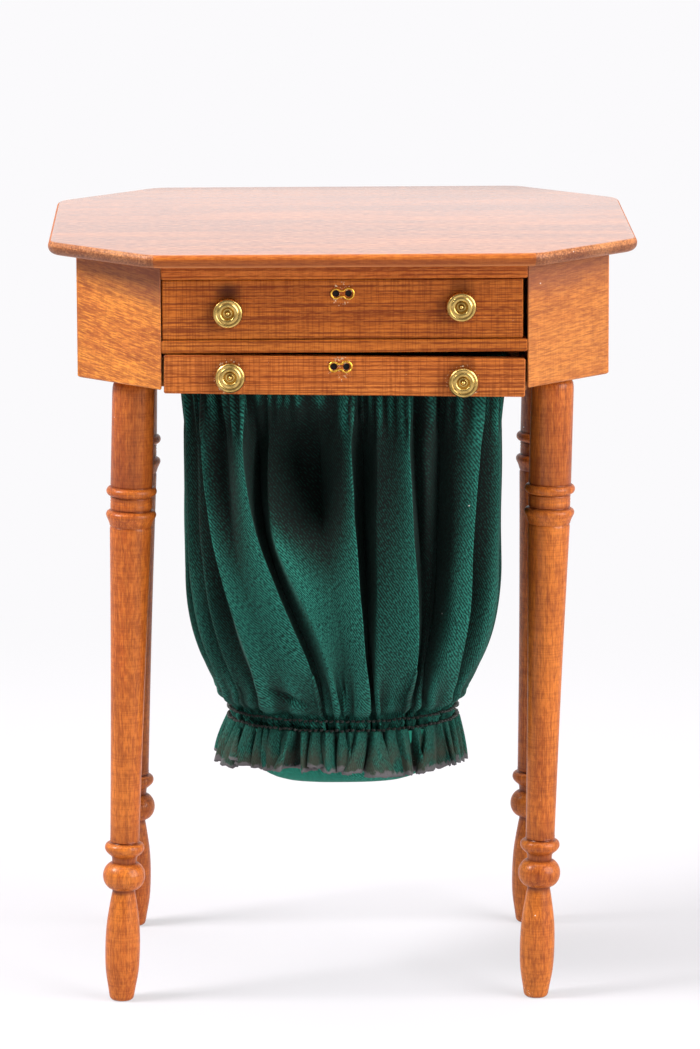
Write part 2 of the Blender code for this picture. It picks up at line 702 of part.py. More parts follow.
def make_bag_frame(bag_drawer):
    tilt = empty("bag_frame", (0, 0, 0), bag_drawer)
    tilt.rotation_euler = (0, BAG_FRONT_TILT, 0)
    half = OPENING_HALF_WIDTH - BAG_FRONT_SIDE_GAP
    height = BAG_FRONT_HEIGHT / 2
    low, high = (-half, 0, -height), (half, FRONT_THICKNESS, height)
    front = ease_edges(box("bag_front", low, high, WOOD, tilt))
    fit_brass("bag", front, BAG_KNOB_RISES, BAG_PLATE_SHIFT, BAG_PLATE_RISE, tilt)

    start = FRONT_THICKNESS + GLUE_GAP
    end = BAG_FRAME_END - BAG_FACE
    floor = -BAG_FRAME_BELOW_MIDDLE
    top = floor + BAG_FRAME_HEIGHT
    for name, side in (("left", -1), ("right", 1)):
        xs = sorted((side * BAG_FRAME_OUTSIDE, side * BAG_FRAME_INSIDE))
        ease_edges(box(f"bag_frame_{name}", (xs[0], start, floor), (xs[1], end, top), WOOD, tilt))
    rail = BAG_FRAME_INSIDE - GLUE_GAP
    low = (-rail, end - BAG_FRAME_THICKNESS, floor)
    box("bag_frame_back", low, (rail, end, top), WOOD, tilt)


def make_bag_runners():
    """Strips on the corner blocks' inner faces: a runner under each side of the bag frame, and on it
    a thin guide that keeps the frame straight."""
    bed = empty("bag_runner_bed", (0, FRONT_FACE, BAG_FRONT_MIDDLE))
    bed.rotation_euler = (0, BAG_FRONT_TILT, 0)
    top = -BAG_FRAME_BELOW_MIDDLE - RUNNING_GAP
    start = FRONT_THICKNESS + RUNNING_GAP
    end = RUNNER_END - FRONT_FACE
    outside = OPENING_HALF_WIDTH - GLUE_GAP
    inside = BAG_FRAME_INSIDE + BAG_RUNNER_SETBACK
    for name, side in (("left", -1), ("right", 1)):
        xs = sorted((side * outside, side * inside))
        low = (xs[0], start, top - BAG_RUNNER_HEIGHT)
        box(f"bag_runner_{name}", low, (xs[1], end, top), WOOD, bed)
        xs = sorted((side * outside, side * (BAG_FRAME_OUTSIDE + RUNNING_GAP)))
        foot = top + GLUE_GAP
        box(f"bag_guide_{name}", (xs[0], start, foot), (xs[1], end, foot + BAG_GUIDE_HEIGHT), WOOD, bed)


# Gathered bag, in the frame of the bag front's middle


BAG_TOP = BAG_FRAME_HEIGHT - BAG_FRAME_BELOW_MIDDLE + BAG_TOP_ABOVE_FRAME
NECK_LEVEL = BAG_TOP - BAG_LENGTH
BAG_FRONT_Y = FRONT_THICKNESS + SEAM_GAP
BAG_BACK_Y = BAG_FRAME_END - BAG_FACE - BAG_FRAME_THICKNESS - SEAM_GAP
BAG_MIDDLE_Y = (BAG_FRONT_Y + BAG_BACK_Y) / 2
BAG_MOUTH_X = BAG_FRAME_INSIDE - SEAM_GAP * 2
BAG_MOUTH_Y = (BAG_BACK_Y - BAG_FRONT_Y) / 2
NECK_HALF_X = BAG_MOUTH_X * NECK_WIDTH_SHARE
NECK_HALF_Y = BAG_MOUTH_Y * NECK_DEPTH_SHARE


def rounded(angle, half_x, half_y, power):
    """A point of a superellipse: power 2 is an ellipse, and higher powers square it off."""
    cosine, sine = math.cos(angle), math.sin(angle)
    x = math.copysign(abs(cosine) ** (2 / power), cosine)
    y = math.copysign(abs(sine) ** (2 / power), sine)
    return Vector((half_x * x, half_y * y, 0.0))


def between(values, share):
    """Value of a fold's line at a share of the way down, from its values at the fold levels."""
    for low, high, first, second in zip(FOLD_LEVELS, FOLD_LEVELS[1:], values, values[1:]):
        if share <= high:
            break
    return first + (second - first) * (share - low) / (high - low)


def fold_lines(share):
    """Places round the bag at one level, as (along X, share of that half size, side of the other axis, depth)."""
    for places, depths in FRONT_FOLDS:
        yield True, between(places, share), -1, between(depths, share)
    for along_x, places, side in ((False, SIDE_FOLDS, 1), (True, BACK_FOLDS, 1), (False, SIDE_FOLDS[::-1], -1)):
        for step, place in enumerate(places):
            yield along_x, place, side, between(VALLEY_DEPTHS if step % 2 else CREST_DEPTHS, share)


def bag_ring(share, inset=0.0):
    """One level of the bag: share runs from 0 at the mouth to 1 at the top of the neck band."""
    shoulder = max(0.0, 1 - (1 - share) * BAG_LENGTH / BAG_SHOULDER_LENGTH)
    drawn = (1 - math.sqrt(1 - SHOULDER_ROUNDNESS * shoulder**2)) / (1 - math.sqrt(1 - SHOULDER_ROUNDNESS))
    fullness = BAG_FULLNESS * math.sin(math.pi * share)
    half_x = BAG_MOUTH_X + fullness + (NECK_HALF_X - BAG_MOUTH_X - fullness) * drawn
    half_y = BAG_MOUTH_Y + (NECK_HALF_Y - BAG_MOUTH_Y) * drawn
    power = BAG_CORNER_POWER + (2 - BAG_CORNER_POWER) * drawn
    middle = BAG_MIDDLE_Y + NECK_BACK_SHIFT * drawn
    level = BAG_TOP + (NECK_LEVEL + NECK_BAND - BAG_TOP) * share
    ring = []
    for along_x, place, side, depth in fold_lines(share):
        other = side * max(0.0, 1 - abs(place) ** power) ** (1 / power)
        x, y = (place, other) if along_x else (other, place)
        slope_x = math.copysign(abs(x) ** (power - 1), x) / half_x
        slope_y = math.copysign(abs(y) ** (power - 1), y) / half_y
        inward = -Vector((slope_x, slope_y, 0.0)).normalized()
        point = Vector((half_x * x, middle + half_y * y, level))
        ring.append(point + inward * (depth * MM + inset))
    return ring


def neck_ring(outset, level, waves=0.0, sides=RUFFLE_SIDES):
    """An oval round the neck, outset from it, with the ruffle's waves if any."""
    middle = BAG_MIDDLE_Y + NECK_BACK_SHIFT
    ring = []
    for step in range(sides):
        angle = 2 * math.pi * step / sides
        grown = outset + waves * math.cos(RUFFLE_WAVES * angle)
        point = rounded(angle, NECK_HALF_X + grown, NECK_HALF_Y + grown, 2)
        ring.append(point + Vector((0, middle, level)))
    return ring


def make_bag(bag_drawer):
    """The cloth cup, open at the mouth inside the frame and closed under the neck."""
    shares = [(step / BAG_RINGS) ** 0.85 for step in range(BAG_RINGS + 1)]
    outer = [bag_ring(share) for share in shares]
    inner = [bag_ring(share, BAG_WALL) for share in reversed(shares)]
    under = [point - Vector((0, 0, NECK_BAND)) for point in outer[-1]]
    floor = [point - Vector((0, 0, NECK_BAND - BAG_WALL)) for point in inner[0]]
    loft("bag_cloth", [floor, *inner, *outer, under], CLOTH, bag_drawer)


def make_ruffle(bag_drawer):
    """The loose end of the cloth below the gathering, flaring in waves round the base."""
    rings = []
    for step in range(RUFFLE_RINGS + 1):
        share = step / RUFFLE_RINGS
        level = NECK_LEVEL - SEAM_GAP - RUFFLE_LENGTH * share
        outset = RUFFLE_FLARE * math.sin(math.pi / 2 * share)
        rings.append(neck_ring(outset, level, RUFFLE_WAVE_DEPTH * share))
    ruffle = loft("bag_ruffle", rings, CLOTH, bag_drawer, capped=(False, False))
    thicken(ruffle, RUFFLE_WALL)


def make_base(bag_drawer):
    """The covered pad that closes the bag's bottom, rounded underneath."""
    rings = []
    for step in range(ARC_POINTS + 1):
        angle = math.pi / 2 * step / ARC_POINTS
        level = NECK_LEVEL - SEAM_GAP - BASE_DEPTH * math.sin(angle)
        inset = BASE_INSET + NECK_HALF_Y * BASE_TAPER * (1 - math.cos(angle))
        rings.append(neck_ring(-inset, level, sides=BASE_SIDES))
    loft("bag_base", rings, CLOTH, bag_drawer)


def make_threads(bag_drawer):
    """Two rows of gathering thread round the neck."""
    outset = SEAM_GAP + THREAD_DIAMETER / 2
    for row, name in enumerate(("lower", "upper")):
        level = NECK_LEVEL + THREAD_LIFT + THREAD_SPACING * row
        curve = bpy.data.curves.new(f"gathering_thread_{name}", "CURVE")
        curve.dimensions = "3D"
        curve.bevel_depth = THREAD_DIAMETER / 2
        curve.bevel_resolution = 1
        spline = curve.splines.new("POLY")
        spline.points.add(THREAD_POINTS - 1)
        spline.use_cyclic_u = True
        for point, where in zip(spline.points, neck_ring(outset, level, sides=THREAD_POINTS)):
            point.co = (*where, 1.0)
        place(curve, f"gathering_thread_{name}", THREAD, bag_drawer)


make_top()
make_carcass_panels()
make_front_rails()
make_corner_blocks()
make_drawer_runners()
make_legs()
make_drawer()
BAG_DRAWER = empty("bag_drawer", (0, BAG_FACE, BAG_FRONT_MIDDLE))
make_bag_frame(BAG_DRAWER)
make_bag_runners()
make_bag(BAG_DRAWER)
make_ruffle(BAG_DRAWER)
make_base(BAG_DRAWER)
make_threads(BAG_DRAWER)
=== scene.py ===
import math

import bmesh
import bpy
import numpy as np
from mathutils import Matrix, Vector


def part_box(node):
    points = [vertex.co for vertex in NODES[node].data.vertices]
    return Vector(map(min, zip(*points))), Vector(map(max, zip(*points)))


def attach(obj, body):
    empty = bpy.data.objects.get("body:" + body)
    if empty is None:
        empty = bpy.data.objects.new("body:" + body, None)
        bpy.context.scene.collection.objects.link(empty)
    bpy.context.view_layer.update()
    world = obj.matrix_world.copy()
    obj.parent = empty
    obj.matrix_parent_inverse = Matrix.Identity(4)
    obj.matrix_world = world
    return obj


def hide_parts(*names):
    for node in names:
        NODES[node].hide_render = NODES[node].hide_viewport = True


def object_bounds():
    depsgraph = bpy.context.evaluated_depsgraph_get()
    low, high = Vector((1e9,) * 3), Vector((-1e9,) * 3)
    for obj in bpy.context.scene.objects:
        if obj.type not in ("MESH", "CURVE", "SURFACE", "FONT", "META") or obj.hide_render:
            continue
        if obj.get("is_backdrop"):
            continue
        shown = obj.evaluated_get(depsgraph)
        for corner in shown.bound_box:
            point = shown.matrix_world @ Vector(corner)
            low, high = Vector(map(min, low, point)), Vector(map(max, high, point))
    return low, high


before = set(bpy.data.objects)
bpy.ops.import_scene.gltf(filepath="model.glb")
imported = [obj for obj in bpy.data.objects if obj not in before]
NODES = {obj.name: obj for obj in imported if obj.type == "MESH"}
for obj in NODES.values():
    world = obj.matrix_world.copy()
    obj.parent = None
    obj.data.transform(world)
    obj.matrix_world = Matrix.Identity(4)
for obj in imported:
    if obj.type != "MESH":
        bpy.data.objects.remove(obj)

# Doll's-house work table: oiled cherry, turned brass fittings and a gathered twill bag.
# Lengths below are in millimetres unless a name says otherwise, and MM turns them to metres.
MM = 0.001
CAD_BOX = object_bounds()


# Materials

def linear(code):
    """Linear RGBA of an sRGB hex colour."""
    parts = [int(code[i:i + 2], 16) / 255 for i in (0, 2, 4)]
    return [c / 12.92 if c <= 0.04045 else ((c + 0.055) / 1.055) ** 2.4 for c in parts] + [1.0]


def fill(tree, node, inputs):
    """Fills or links a node's inputs."""
    for key, value in inputs.items():
        if isinstance(value, bpy.types.NodeSocket):
            tree.links.new(value, node.inputs[key])
        else:
            node.inputs[key].default_value = value


def add(tree, kind, inputs=None, **settings):
    """Adds a node with its settings, fills or links its inputs, and gives its outputs."""
    made = tree.nodes.new("ShaderNode" + kind)
    for key, value in settings.items():
        setattr(made, key, value)
    fill(tree, made, inputs or {})
    return made.outputs


def start_material(name):
    material = bpy.data.materials.new(name)
    material.use_nodes = True
    tree = material.node_tree
    return material, tree, tree.nodes["Principled BSDF"]


def tint(tree, tone, source, low, high, most, colour, easing="LINEAR"):
    """Takes a tone towards a colour while a pattern goes from one value to another."""
    share = add(tree, "MapRange", {
        "Value": source, "From Min": low, "From Max": high, "To Max": most}, interpolation_type=easing)[0]
    return add(tree, "Mix", {0: share, 6: tone, 7: linear(colour)}, data_type="RGBA")[2]


def scatter_specks(tree, place, cells_per_metre, radius, rarity):
    """One speck to a cell, its radius a share of the cell, in those cells whose number is past the rarity."""
    cells = add(tree, "TexVoronoi", {"Vector": place, "Scale": cells_per_metre})
    near = add(tree, "Math", {0: cells["Distance"], 1: radius}, operation="LESS_THAN")[0]
    number = add(tree, "SeparateColor", {"Color": cells["Color"]})["Red"]
    chosen = add(tree, "Math", {0: number, 1: rarity}, operation="GREATER_THAN")[0]
    return add(tree, "Math", {0: near, 1: chosen}, operation="MULTIPLY")[0]


def measure_from(tree, place, x, z, tall=1.0):
    """Millimetres from a place on a front, with the heights counted this many times over."""
    spot = add(tree, "Mapping", {
        "Vector": place, "Scale": (1000, 0, 1000 * tall), "Location": (-1000 * x, 0, -1000 * tall * z)})[0]
    return add(tree, "VectorMath", {0: spot}, operation="LENGTH")["Value"]


def oiled_cherry(name, dark, middle, light, turn, shift=(0, 0, 0), lines=0.5, flecks=0.3, gloss=0.3,
                 marks=0.15, streaks=0.2, mottling=(0.5, 1.4, 0.12), light_and_shade_bands=(), hollows=False, heart_and_shade=None,
                 knob_shadows=(), glued=(), coat=(0.0, 0.03, 1.5)):
    """Oiled and rubbed cherry: hair-fine lines along the grain, longer streaks, and short flecks where the
    pores are cut, with a satin skin that the pores roughen. Tool marks cross the grain, and dust lies on it
    in a few pale specks."""
    material, tree, surface = start_material(name)
    place = add(tree, "TexCoord")["Object"]
    # The board's own millimetres, with X along the grain.
    board = add(tree, "Mapping", {
        "Vector": place, "Location": shift, "Rotation": turn, "Scale": (1000, 1000, 1000)})[0]

    def grain(along, across, detail, warp=0.0):
        """Noise with this many cells to the millimetre along and across the grain."""
        spread = add(tree, "Mapping", {"Vector": board, "Scale": (along, across, across)})[0]
        return add(tree, "TexNoise", {
            "Vector": spread, "Scale": 1.0, "Detail": detail, "Roughness": 0.6, "Distortion": warp})["Fac"]

    # Broad tone: bands about 4 mm wide and 40 mm long.
    broad = grain(0.03, 0.28, 3.0, 0.4)
    # Cross figure: soft bands about 3 mm apart, where the grain dips and rises.
    figure = grain(0.33, 0.05, 2.0)
    # Streaks: about 0.6 mm apart and 9 mm long.
    streak = grain(0.11, 1.7, 4.0, 0.3)
    # Mottling where the oil went in unevenly: on the boards, blotches about 0.7 mm wide and 2 mm long.
    mottle_along, mottle_across, mottled = mottling
    mottle = grain(mottle_along, mottle_across, 3.0)
    # Lines: about 0.2 mm apart and 16 mm long.
    line = grain(0.06, 9.5, 1.0)
    # Flecks: dashes about 0.1 mm wide and 0.8 mm long, some of them shorter.
    fleck = grain(1.25, 8.5, 2.0)
    # Pores: thin dark dashes about 1.5 mm long.
    pore = grain(0.7, 11.0, 1.0)
    # Tool marks: hair lines across the grain, about 0.1 mm wide and 3 mm long.
    mark = grain(9.0, 0.3, 0.0)
    tints = [
        (broad, 0.38, 0.66, 0.7, light),
        (figure, 0.45, 0.75, 0.25, dark),
        (streak, 0.48, 0.72, streaks, dark),
        (mottle, 0.50, 0.68, mottled, dark),
        (mottle, 0.47, 0.34, 0.8 * mottled, light),
        (mark, 0.48, 0.66, marks, dark),
        (line, 0.50, 0.58, lines, dark),
        (fleck, 0.53, 0.60, flecks, dark),
        (fleck, 0.46, 0.39, flecks, light),
        (pore, 0.62, 0.67, flecks, dark),
    ]
    for start, end, most, colour in light_and_shade_bands:
        # Painted shade and painted highlight in bands along a moulding, each growing from one height to
        # another.
        height = add(tree, "SeparateXYZ", {"Vector": place})["Z"]
        tints.append((height, start * MM, end * MM, most, colour))
    if hollows:
        # Stain that has gathered in the turned hollows.
        tints.append((add(tree, "Attribute", attribute_name="hollow")["Fac"], 0, 1, 1, dark))
    if heart_and_shade:
        # Grey-brown heartwood and painted shade of the top's overhang at the board's upper edge, between two
        # heights, which the streaks make waver.
        low, high, most = heart_and_shade
        waver = 2.5
        rise = add(tree, "SeparateXYZ", {"Vector": board})["Z"]
        rise = add(tree, "Math", {0: streak, 1: waver, 2: rise}, operation="MULTIPLY_ADD")[0]
        tints.append((rise, low + waver / 2, high + waver / 2, most, "6E3C2A", "SMOOTHSTEP"))
    for x, z, most in knob_shadows:
        # Painted shadow of a knob: a dark patch about 2 mm wide, just above it.
        tints.append((measure_from(tree, place, x, z, 1.3), 1.5, 0.2, most, "3A1608", "SMOOTHSTEP"))
    for x, z, reach in glued:
        # Crumbs of old glue, about 0.15 mm across, squeezed out round a fitting.
        close = add(tree, "MapRange", {
            "Value": measure_from(tree, place, x, z), "From Min": reach, "From Max": reach + 0.45,
            "To Min": 0.2, "To Max": 0.0})[0]
        crumb = add(tree, "TexNoise", {"Vector": place, "Scale": 7000.0, "Detail": 2.0})["Fac"]
        crumb = add(tree, "Math", {0: crumb, 1: close}, operation="ADD")[0]
        tints.append((crumb, 0.80, 0.86, 0.75, "D9C6A4"))
    # Dust: a pale speck about 0.09 mm across in one cell of 2.5 mm in five.
    tints.append((scatter_specks(tree, place, 400.0, 0.018, 0.8), 0, 1, 1, "EFE6DC"))
    tone = linear(middle)
    for layer in tints:
        tone = tint(tree, tone, *layer)
    skin = add(tree, "MapRange", {
        "Value": fleck, "From Min": 0.3, "From Max": 0.7, "To Min": 0.36, "To Max": 0.52})[0]
    relief = add(tree, "Math", {0: line, 1: fleck}, operation="ADD")[0]
    bump = add(tree, "Bump", {
        "Height": relief, "Strength": 0.5, "Distance": 0.04 * MM}, invert=True)[0]
    fill(tree, surface, {
        "Base Color": tone, "Roughness": skin, "Normal": bump, "Specular IOR Level": gloss,
        "Coat Weight": coat[0], "Coat Roughness": coat[1], "Coat IOR": coat[2]})
    return material


def brass(name, bright, dulled):
    """Polished brass, a little tarnished: olive-yellow with soft cloudy dulling."""
    material, tree, surface = start_material(name)
    place = add(tree, "TexCoord")["Object"]
    # Tarnish clouds about 0.6 mm across.
    cloud = add(tree, "TexNoise", {
        "Vector": place, "Scale": 1600.0, "Detail": 4.0, "Roughness": 0.6})["Fac"]
    tone = tint(tree, linear(bright), cloud, 0.42, 0.72, 1, dulled)
    skin = add(tree, "MapRange", {
        "Value": cloud, "From Min": 0.3, "From Max": 0.7, "To Min": 0.19, "To Max": 0.34})[0]
    fill(tree, surface, {"Base Color": tone, "Roughness": skin, "Metallic": 1.0})
    return material


def green_twill(name, rib, groove, fray=None):
    """Fine wool twill: diagonal ribs that catch the light over darker grooves, with a faint nap,
    and lint caught in it. The ribs are 0.18 mm apart, and follow the cloth through its own UV map."""
    material, tree, surface = start_material(name)
    coordinates = add(tree, "TexCoord")
    flat, place = coordinates["UV"], coordinates["Object"]
    # The UV map is in millimetres of flat cloth: five and a half ribs to the millimetre.
    across = add(tree, "Mapping", {
        "Vector": flat, "Rotation": (0, 0, math.radians(33)), "Scale": (5.5, 5.5, 1)})[0]
    ribs = add(tree, "SeparateXYZ", {"Vector": across})["X"]
    wobble = add(tree, "TexNoise", {"Vector": across, "Scale": 0.35, "Detail": 3.0})["Fac"]
    bent = add(tree, "Math", {0: wobble, 1: 0.5, 2: ribs}, operation="MULTIPLY_ADD")[0]
    phase = add(tree, "Math", {0: bent, 1: 2 * math.pi}, operation="MULTIPLY")[0]
    rib_wave = add(tree, "Math", {0: phase}, operation="SINE")[0]
    # Each rib is broken into floats of yarn about a quarter of a millimetre long.
    yarn_at = add(tree, "Mapping", {"Vector": across, "Scale": (1.5, 0.75, 1)})[0]
    yarn = add(tree, "TexNoise", {"Vector": yarn_at, "Scale": 1.0, "Detail": 2.0})["Fac"]
    height = add(tree, "Math", {0: rib_wave, 1: 0.125, 2: yarn}, operation="MULTIPLY_ADD")[0]
    groove_at, rib_at = 0.40, 0.66
    tone = tint(tree, linear(groove), height, groove_at, rib_at, 1, rib)
    # Wear and fading in clouds about 4 mm across.
    cloud = add(tree, "TexNoise", {"Vector": place, "Scale": 250.0, "Detail": 4.0})["Fac"]
    tone = tint(tree, tone, cloud, 0.35, 0.7, 0.3, "16493F")
    # Painted shade: the cloth is darkened to black-green and near-black by the painted fold shade of each
    # point, most of all in the grooves between the ribs.
    groove_shade = add(tree, "MapRange", {
        "Value": height, "From Min": groove_at, "From Max": rib_at, "To Min": 1.15, "To Max": 0.87})[0]
    shade_share = add(tree, "Attribute", attribute_name="painted_fold_shade")["Fac"]
    shade_share = add(tree, "Math", {0: shade_share, 1: groove_shade}, operation="MULTIPLY")[0]
    tone = tint(tree, tone, shade_share, 0, 1, 1, "081814")
    tone = tint(tree, tone, shade_share, 0.82, 1.08, 0.8, "101110")
    if fray:
        # Raw edge and old glue: the lower end of the flat cloth turns grey-brown in patches.
        down = add(tree, "SeparateXYZ", {"Vector": flat})["Y"]
        ragged = add(tree, "TexNoise", {"Vector": flat, "Scale": 1.6, "Detail": 5.0})["Fac"]
        edge = add(tree, "Math", {0: ragged, 1: 1.5, 2: down}, operation="MULTIPLY_ADD")[0]
        patches = add(tree, "TexNoise", {"Vector": flat, "Scale": 0.4, "Detail": 2.0})["Fac"]
        patch = add(tree, "MapRange", {"Value": patches, "From Min": 0.4, "From Max": 0.55})[0]
        stain = add(tree, "MapRange", {
            "Value": edge, "From Min": 1.2, "From Max": 3.2, "To Max": 0.8})[0]
        stain = add(tree, "Math", {0: stain, 1: patch}, operation="MULTIPLY")[0]
        tone = tint(tree, tone, stain, 0, 1, 1, "3A392F")
        tone = tint(tree, tone, edge, 3.6, 3.8, 0.9, fray)
    # Lint: a pale speck about 0.13 mm across in one cell of 1.9 mm in five.
    tone = tint(tree, tone, scatter_specks(tree, place, 520.0, 0.035, 0.78), 0, 1, 1, "A9A9A0")
    bump = add(tree, "Bump", {"Height": height, "Strength": 0.5, "Distance": 0.05 * MM})[0]
    fill(tree, surface, {
        "Base Color": tone, "Normal": bump, "Roughness": 0.85, "Specular IOR Level": 0.12,
        "Sheen Weight": 0.07, "Sheen Roughness": 0.5, "Sheen Tint": linear("9FD3C4")})
    return material


def dark_thread():
    """Twisted sewing thread, brown-black, with a waxy glint on each ply."""
    material, tree, surface = start_material("dark_thread")
    place = add(tree, "TexCoord")["Object"]
    fuzz = add(tree, "TexNoise", {"Vector": place, "Scale": 9000.0, "Detail": 3.0})["Fac"]
    tone = tint(tree, linear("0E100E"), fuzz, 0.4, 0.7, 1, "3A3E38")
    fill(tree, surface, {"Base Color": tone, "Roughness": 0.5})
    return material


def painted_hole_shade():
    """A black disc at the bottom of a drilled hole: painted shade, which shows the hole as black."""
    material, tree, surface = start_material("painted_hole_shade")
    fill(tree, surface, {"Base Color": linear("0C0605"), "Roughness": 0.9})
    return material


def grain_turn(heading, slant=0.0):
    """Turn that lays the grain along a heading in plan, in degrees from +X, with a slant in the face."""
    level = Matrix.Rotation(math.radians(-heading), 3, "Z")
    return (Matrix.Rotation(math.radians(slant), 3, "Y") @ level).to_euler()


def middle_of(node, lift=0.0):
    """Middle of a fitting, as x and z in metres, raised by some millimetres."""
    low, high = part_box(node)
    return (low.x + high.x) / 2, (low.z + high.z) / 2 + lift * MM


UPRIGHT = (0.0, math.radians(90), 0.0)
# The top is polished, so that it throws back the white room at a low angle.
TOP_WOOD = oiled_cherry(
    "cherry_top", "743616", "8E5432", "CC7838", grain_turn(0), (3, 0, 0), 0.6, 0.55, 1.0, 0.0, 0.5,
    coat=(1.0, 0.18, 1.9))
# The edge has a painted shade band round its middle, where it turns down, and a painted highlight on the lip
# below.
EDGE_WOOD = oiled_cherry(
    "cherry_top_edge", "7C340E", "AE5A1E", "C06E2A", grain_turn(0), (3, 0, 0), 0.4, 0.45, 0.2,
    light_and_shade_bands=((59.66, 59.54, 0.5, "6A3016"), (59.20, 59.04, 0.6, "D08852")))
# The end grain of the canted edges, with the same painted shade and highlight bands.
END_WOOD = oiled_cherry(
    "cherry_end_grain", "4A2410", "9A5022", "D8925A", grain_turn(90), (3, 0, 0), 0.2, 0.5, 0.3,
    light_and_shade_bands=((59.68, 59.56, 0.55, "50281A"), (59.16, 59.06, 0.35, "B87C58")))
FRONT_TONES = ("66280D", "B26020", "C6762F", grain_turn(0), (0, 11, 4), 0.75, 0.26, 0.15, 0.4, 0.22)
BAG_FRONT_TONES = ("6A2A0D", "B66225", "CC7835", grain_turn(0), (4, 6, 2), 0.75, 0.26, 0.15, 0.4, 0.22)
FRONT_WOOD = oiled_cherry("cherry_fronts", *FRONT_TONES)
# The top rail is a lighter copy of the fronts' wood: painted light, where the top's overhang shades it.
RAIL_WOOD = oiled_cherry(
    "cherry_top_rail", "742E10", "C46B2A", "D38038", grain_turn(0), (7, 3, 9), 0.7, 0.3, 0.15)
# The drawer front has painted shadows above its knobs, and crumbs of glue round its keyhole plate.
KNOB_SHADOWED_WOOD = oiled_cherry(
    "cherry_front_knob_shadows", *FRONT_TONES, glued=[(*middle_of("drawer_keyhole_plate"), 0.8)],
    knob_shadows=[(*middle_of("drawer_knob_left", 1.5), 0.85), (*middle_of("drawer_knob_right", 1.4), 0.5)])
BAG_KNOBS = ("bag_knob_left", "bag_knob_right")
# The bag front has painted shadows above its knobs, and crumbs of glue round its knobs and keyhole plate.
GLUED_WOOD = oiled_cherry(
    "cherry_bag_front", *BAG_FRONT_TONES, knob_shadows=[(*middle_of(knob, 1.1), 0.35) for knob in BAG_KNOBS],
    glued=[(*middle_of(knob), 1.15) for knob in BAG_KNOBS] + [(*middle_of("bag_keyhole_plate"), 0.8)])
LEFT_CANT_WOOD = oiled_cherry(
    "cherry_left_cants", "7A3613", "C5702C", "F4A03D", grain_turn(-45, -8), (0, 0, 0), 0.3, 0.42, 0.3,
    0.15, 0.35, mottling=(0.5, 1.4, 0.3), heart_and_shade=(54.6, 57.2, 0.7))
RIGHT_CANT_WOOD = oiled_cherry(
    "cherry_right_cants", "783A14", "AF6124", "CE8137", grain_turn(45, 3), (9, 5, 2), 0.2, 0.42, 0.3,
    0.2, 0.2, mottling=(0.5, 1.4, 0.3), heart_and_shade=(57.2, 60.0, 0.6))
SIDE_WOOD = oiled_cherry("cherry_sides", "8A4418", "C8722E", "DC8C3C", grain_turn(90), (5, 2, 7))
BACK_WOOD = oiled_cherry("cherry_back", "8A4418", "C8722E", "DC8C3C", grain_turn(0), (2, 31, 3))
# The turned legs were burnished on the lathe, so that each bead has a small bright glint. Crumbs of glue
# lie at the front right foot.
LEG_WOOD = oiled_cherry(
    "cherry_legs", "662810", "B2561D", "D67E2E", UPRIGHT, (0, 4, 9), 0.18, 0.28, 0.15, 0.22, 0.4,
    mottling=(1.8, 3.2, 0.32), hollows=True, glued=[(0.0139, 0.0004, 0.5)], coat=(0.2, 0.14, 1.5))
INSIDE_WOOD = oiled_cherry(
    "cherry_inside", "80481E", "B87840", "CC9258", grain_turn(90), (1, 3, 5), 0.4, 0.3, 0.2)
BRASS = brass("turned_brass", "D2B068", "846630")
PLATE_BRASS = brass("pressed_brass", "F2C050", "C08C2C")
BAG_TWILL = green_twill("green_twill", "287666", "0A2823")
# The pad's twill is a lighter copy of the bag's: painted light, from the white floor under the pad.
BASE_TWILL = green_twill("green_twill_lit_pad", "2C8E78", "185C4C")
RUFFLE_TWILL = green_twill("green_twill_raw_edge", "276E5F", "12322B", fray="625E60")
THREAD = dark_thread()
HOLE_SHADE = painted_hole_shade()

WOODS = {
    "front_left_cant": LEFT_CANT_WOOD, "back_right_cant": LEFT_CANT_WOOD,
    "front_right_cant": RIGHT_CANT_WOOD, "back_left_cant": RIGHT_CANT_WOOD,
    "left_side": SIDE_WOOD, "right_side": SIDE_WOOD, "back_panel": BACK_WOOD,
    "top_rail": RAIL_WOOD, "divider_rail": FRONT_WOOD, "drawer_front": KNOB_SHADOWED_WOOD, "bag_front": GLUED_WOOD,
}
INSIDE_ENDINGS = ("_block", "_side", "_back", "_bottom")
INSIDE_STRIPS = ("runner", "guide", "frame")
for name, node_object in NODES.items():
    if name.endswith(INSIDE_ENDINGS) or name.split("_")[1] in INSIDE_STRIPS:
        node_object.material_slots[0].material = INSIDE_WOOD
    if name in WOODS:
        node_object.material_slots[0].material = WOODS[name]


# Making pieces

def show(name, data):
    """Puts a mesh, curve, lamp or camera in the scene."""
    shown = bpy.data.objects.new(name, data)
    bpy.context.scene.collection.objects.link(shown)
    return shown


def add_piece(edit, name, material, body, nodes):
    """Turns an edited mesh into a piece that rides on a body and stands for CAD nodes."""
    mesh = bpy.data.meshes.new(name)
    edit.to_mesh(mesh)
    edit.free()
    mesh.materials.append(material)
    piece = show(name, mesh)
    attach(piece, body)
    if nodes:
        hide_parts(*nodes)
    return piece


def shade(edit, sharp_degrees):
    """Smooth shading, apart from edges that are sharper than this."""
    limit = math.radians(sharp_degrees)
    for face in edit.faces:
        face.smooth = True
    for edge in edit.edges:
        edge.smooth = edge.calc_face_angle(0.0) < limit


def close_up(edit):
    """Joins doubled points, and turns the faces outwards."""
    bmesh.ops.remove_doubles(edit, verts=edit.verts, dist=1e-8)
    bmesh.ops.recalc_face_normals(edit, faces=edit.faces)


def raise_face(edit, face):
    """Extrudes a lone face, and gives the new one, which still has to be moved."""
    grown = bmesh.ops.extrude_face_region(edit, geom=[face])["geom"]
    return [item for item in grown if isinstance(item, bmesh.types.BMFace)][0]


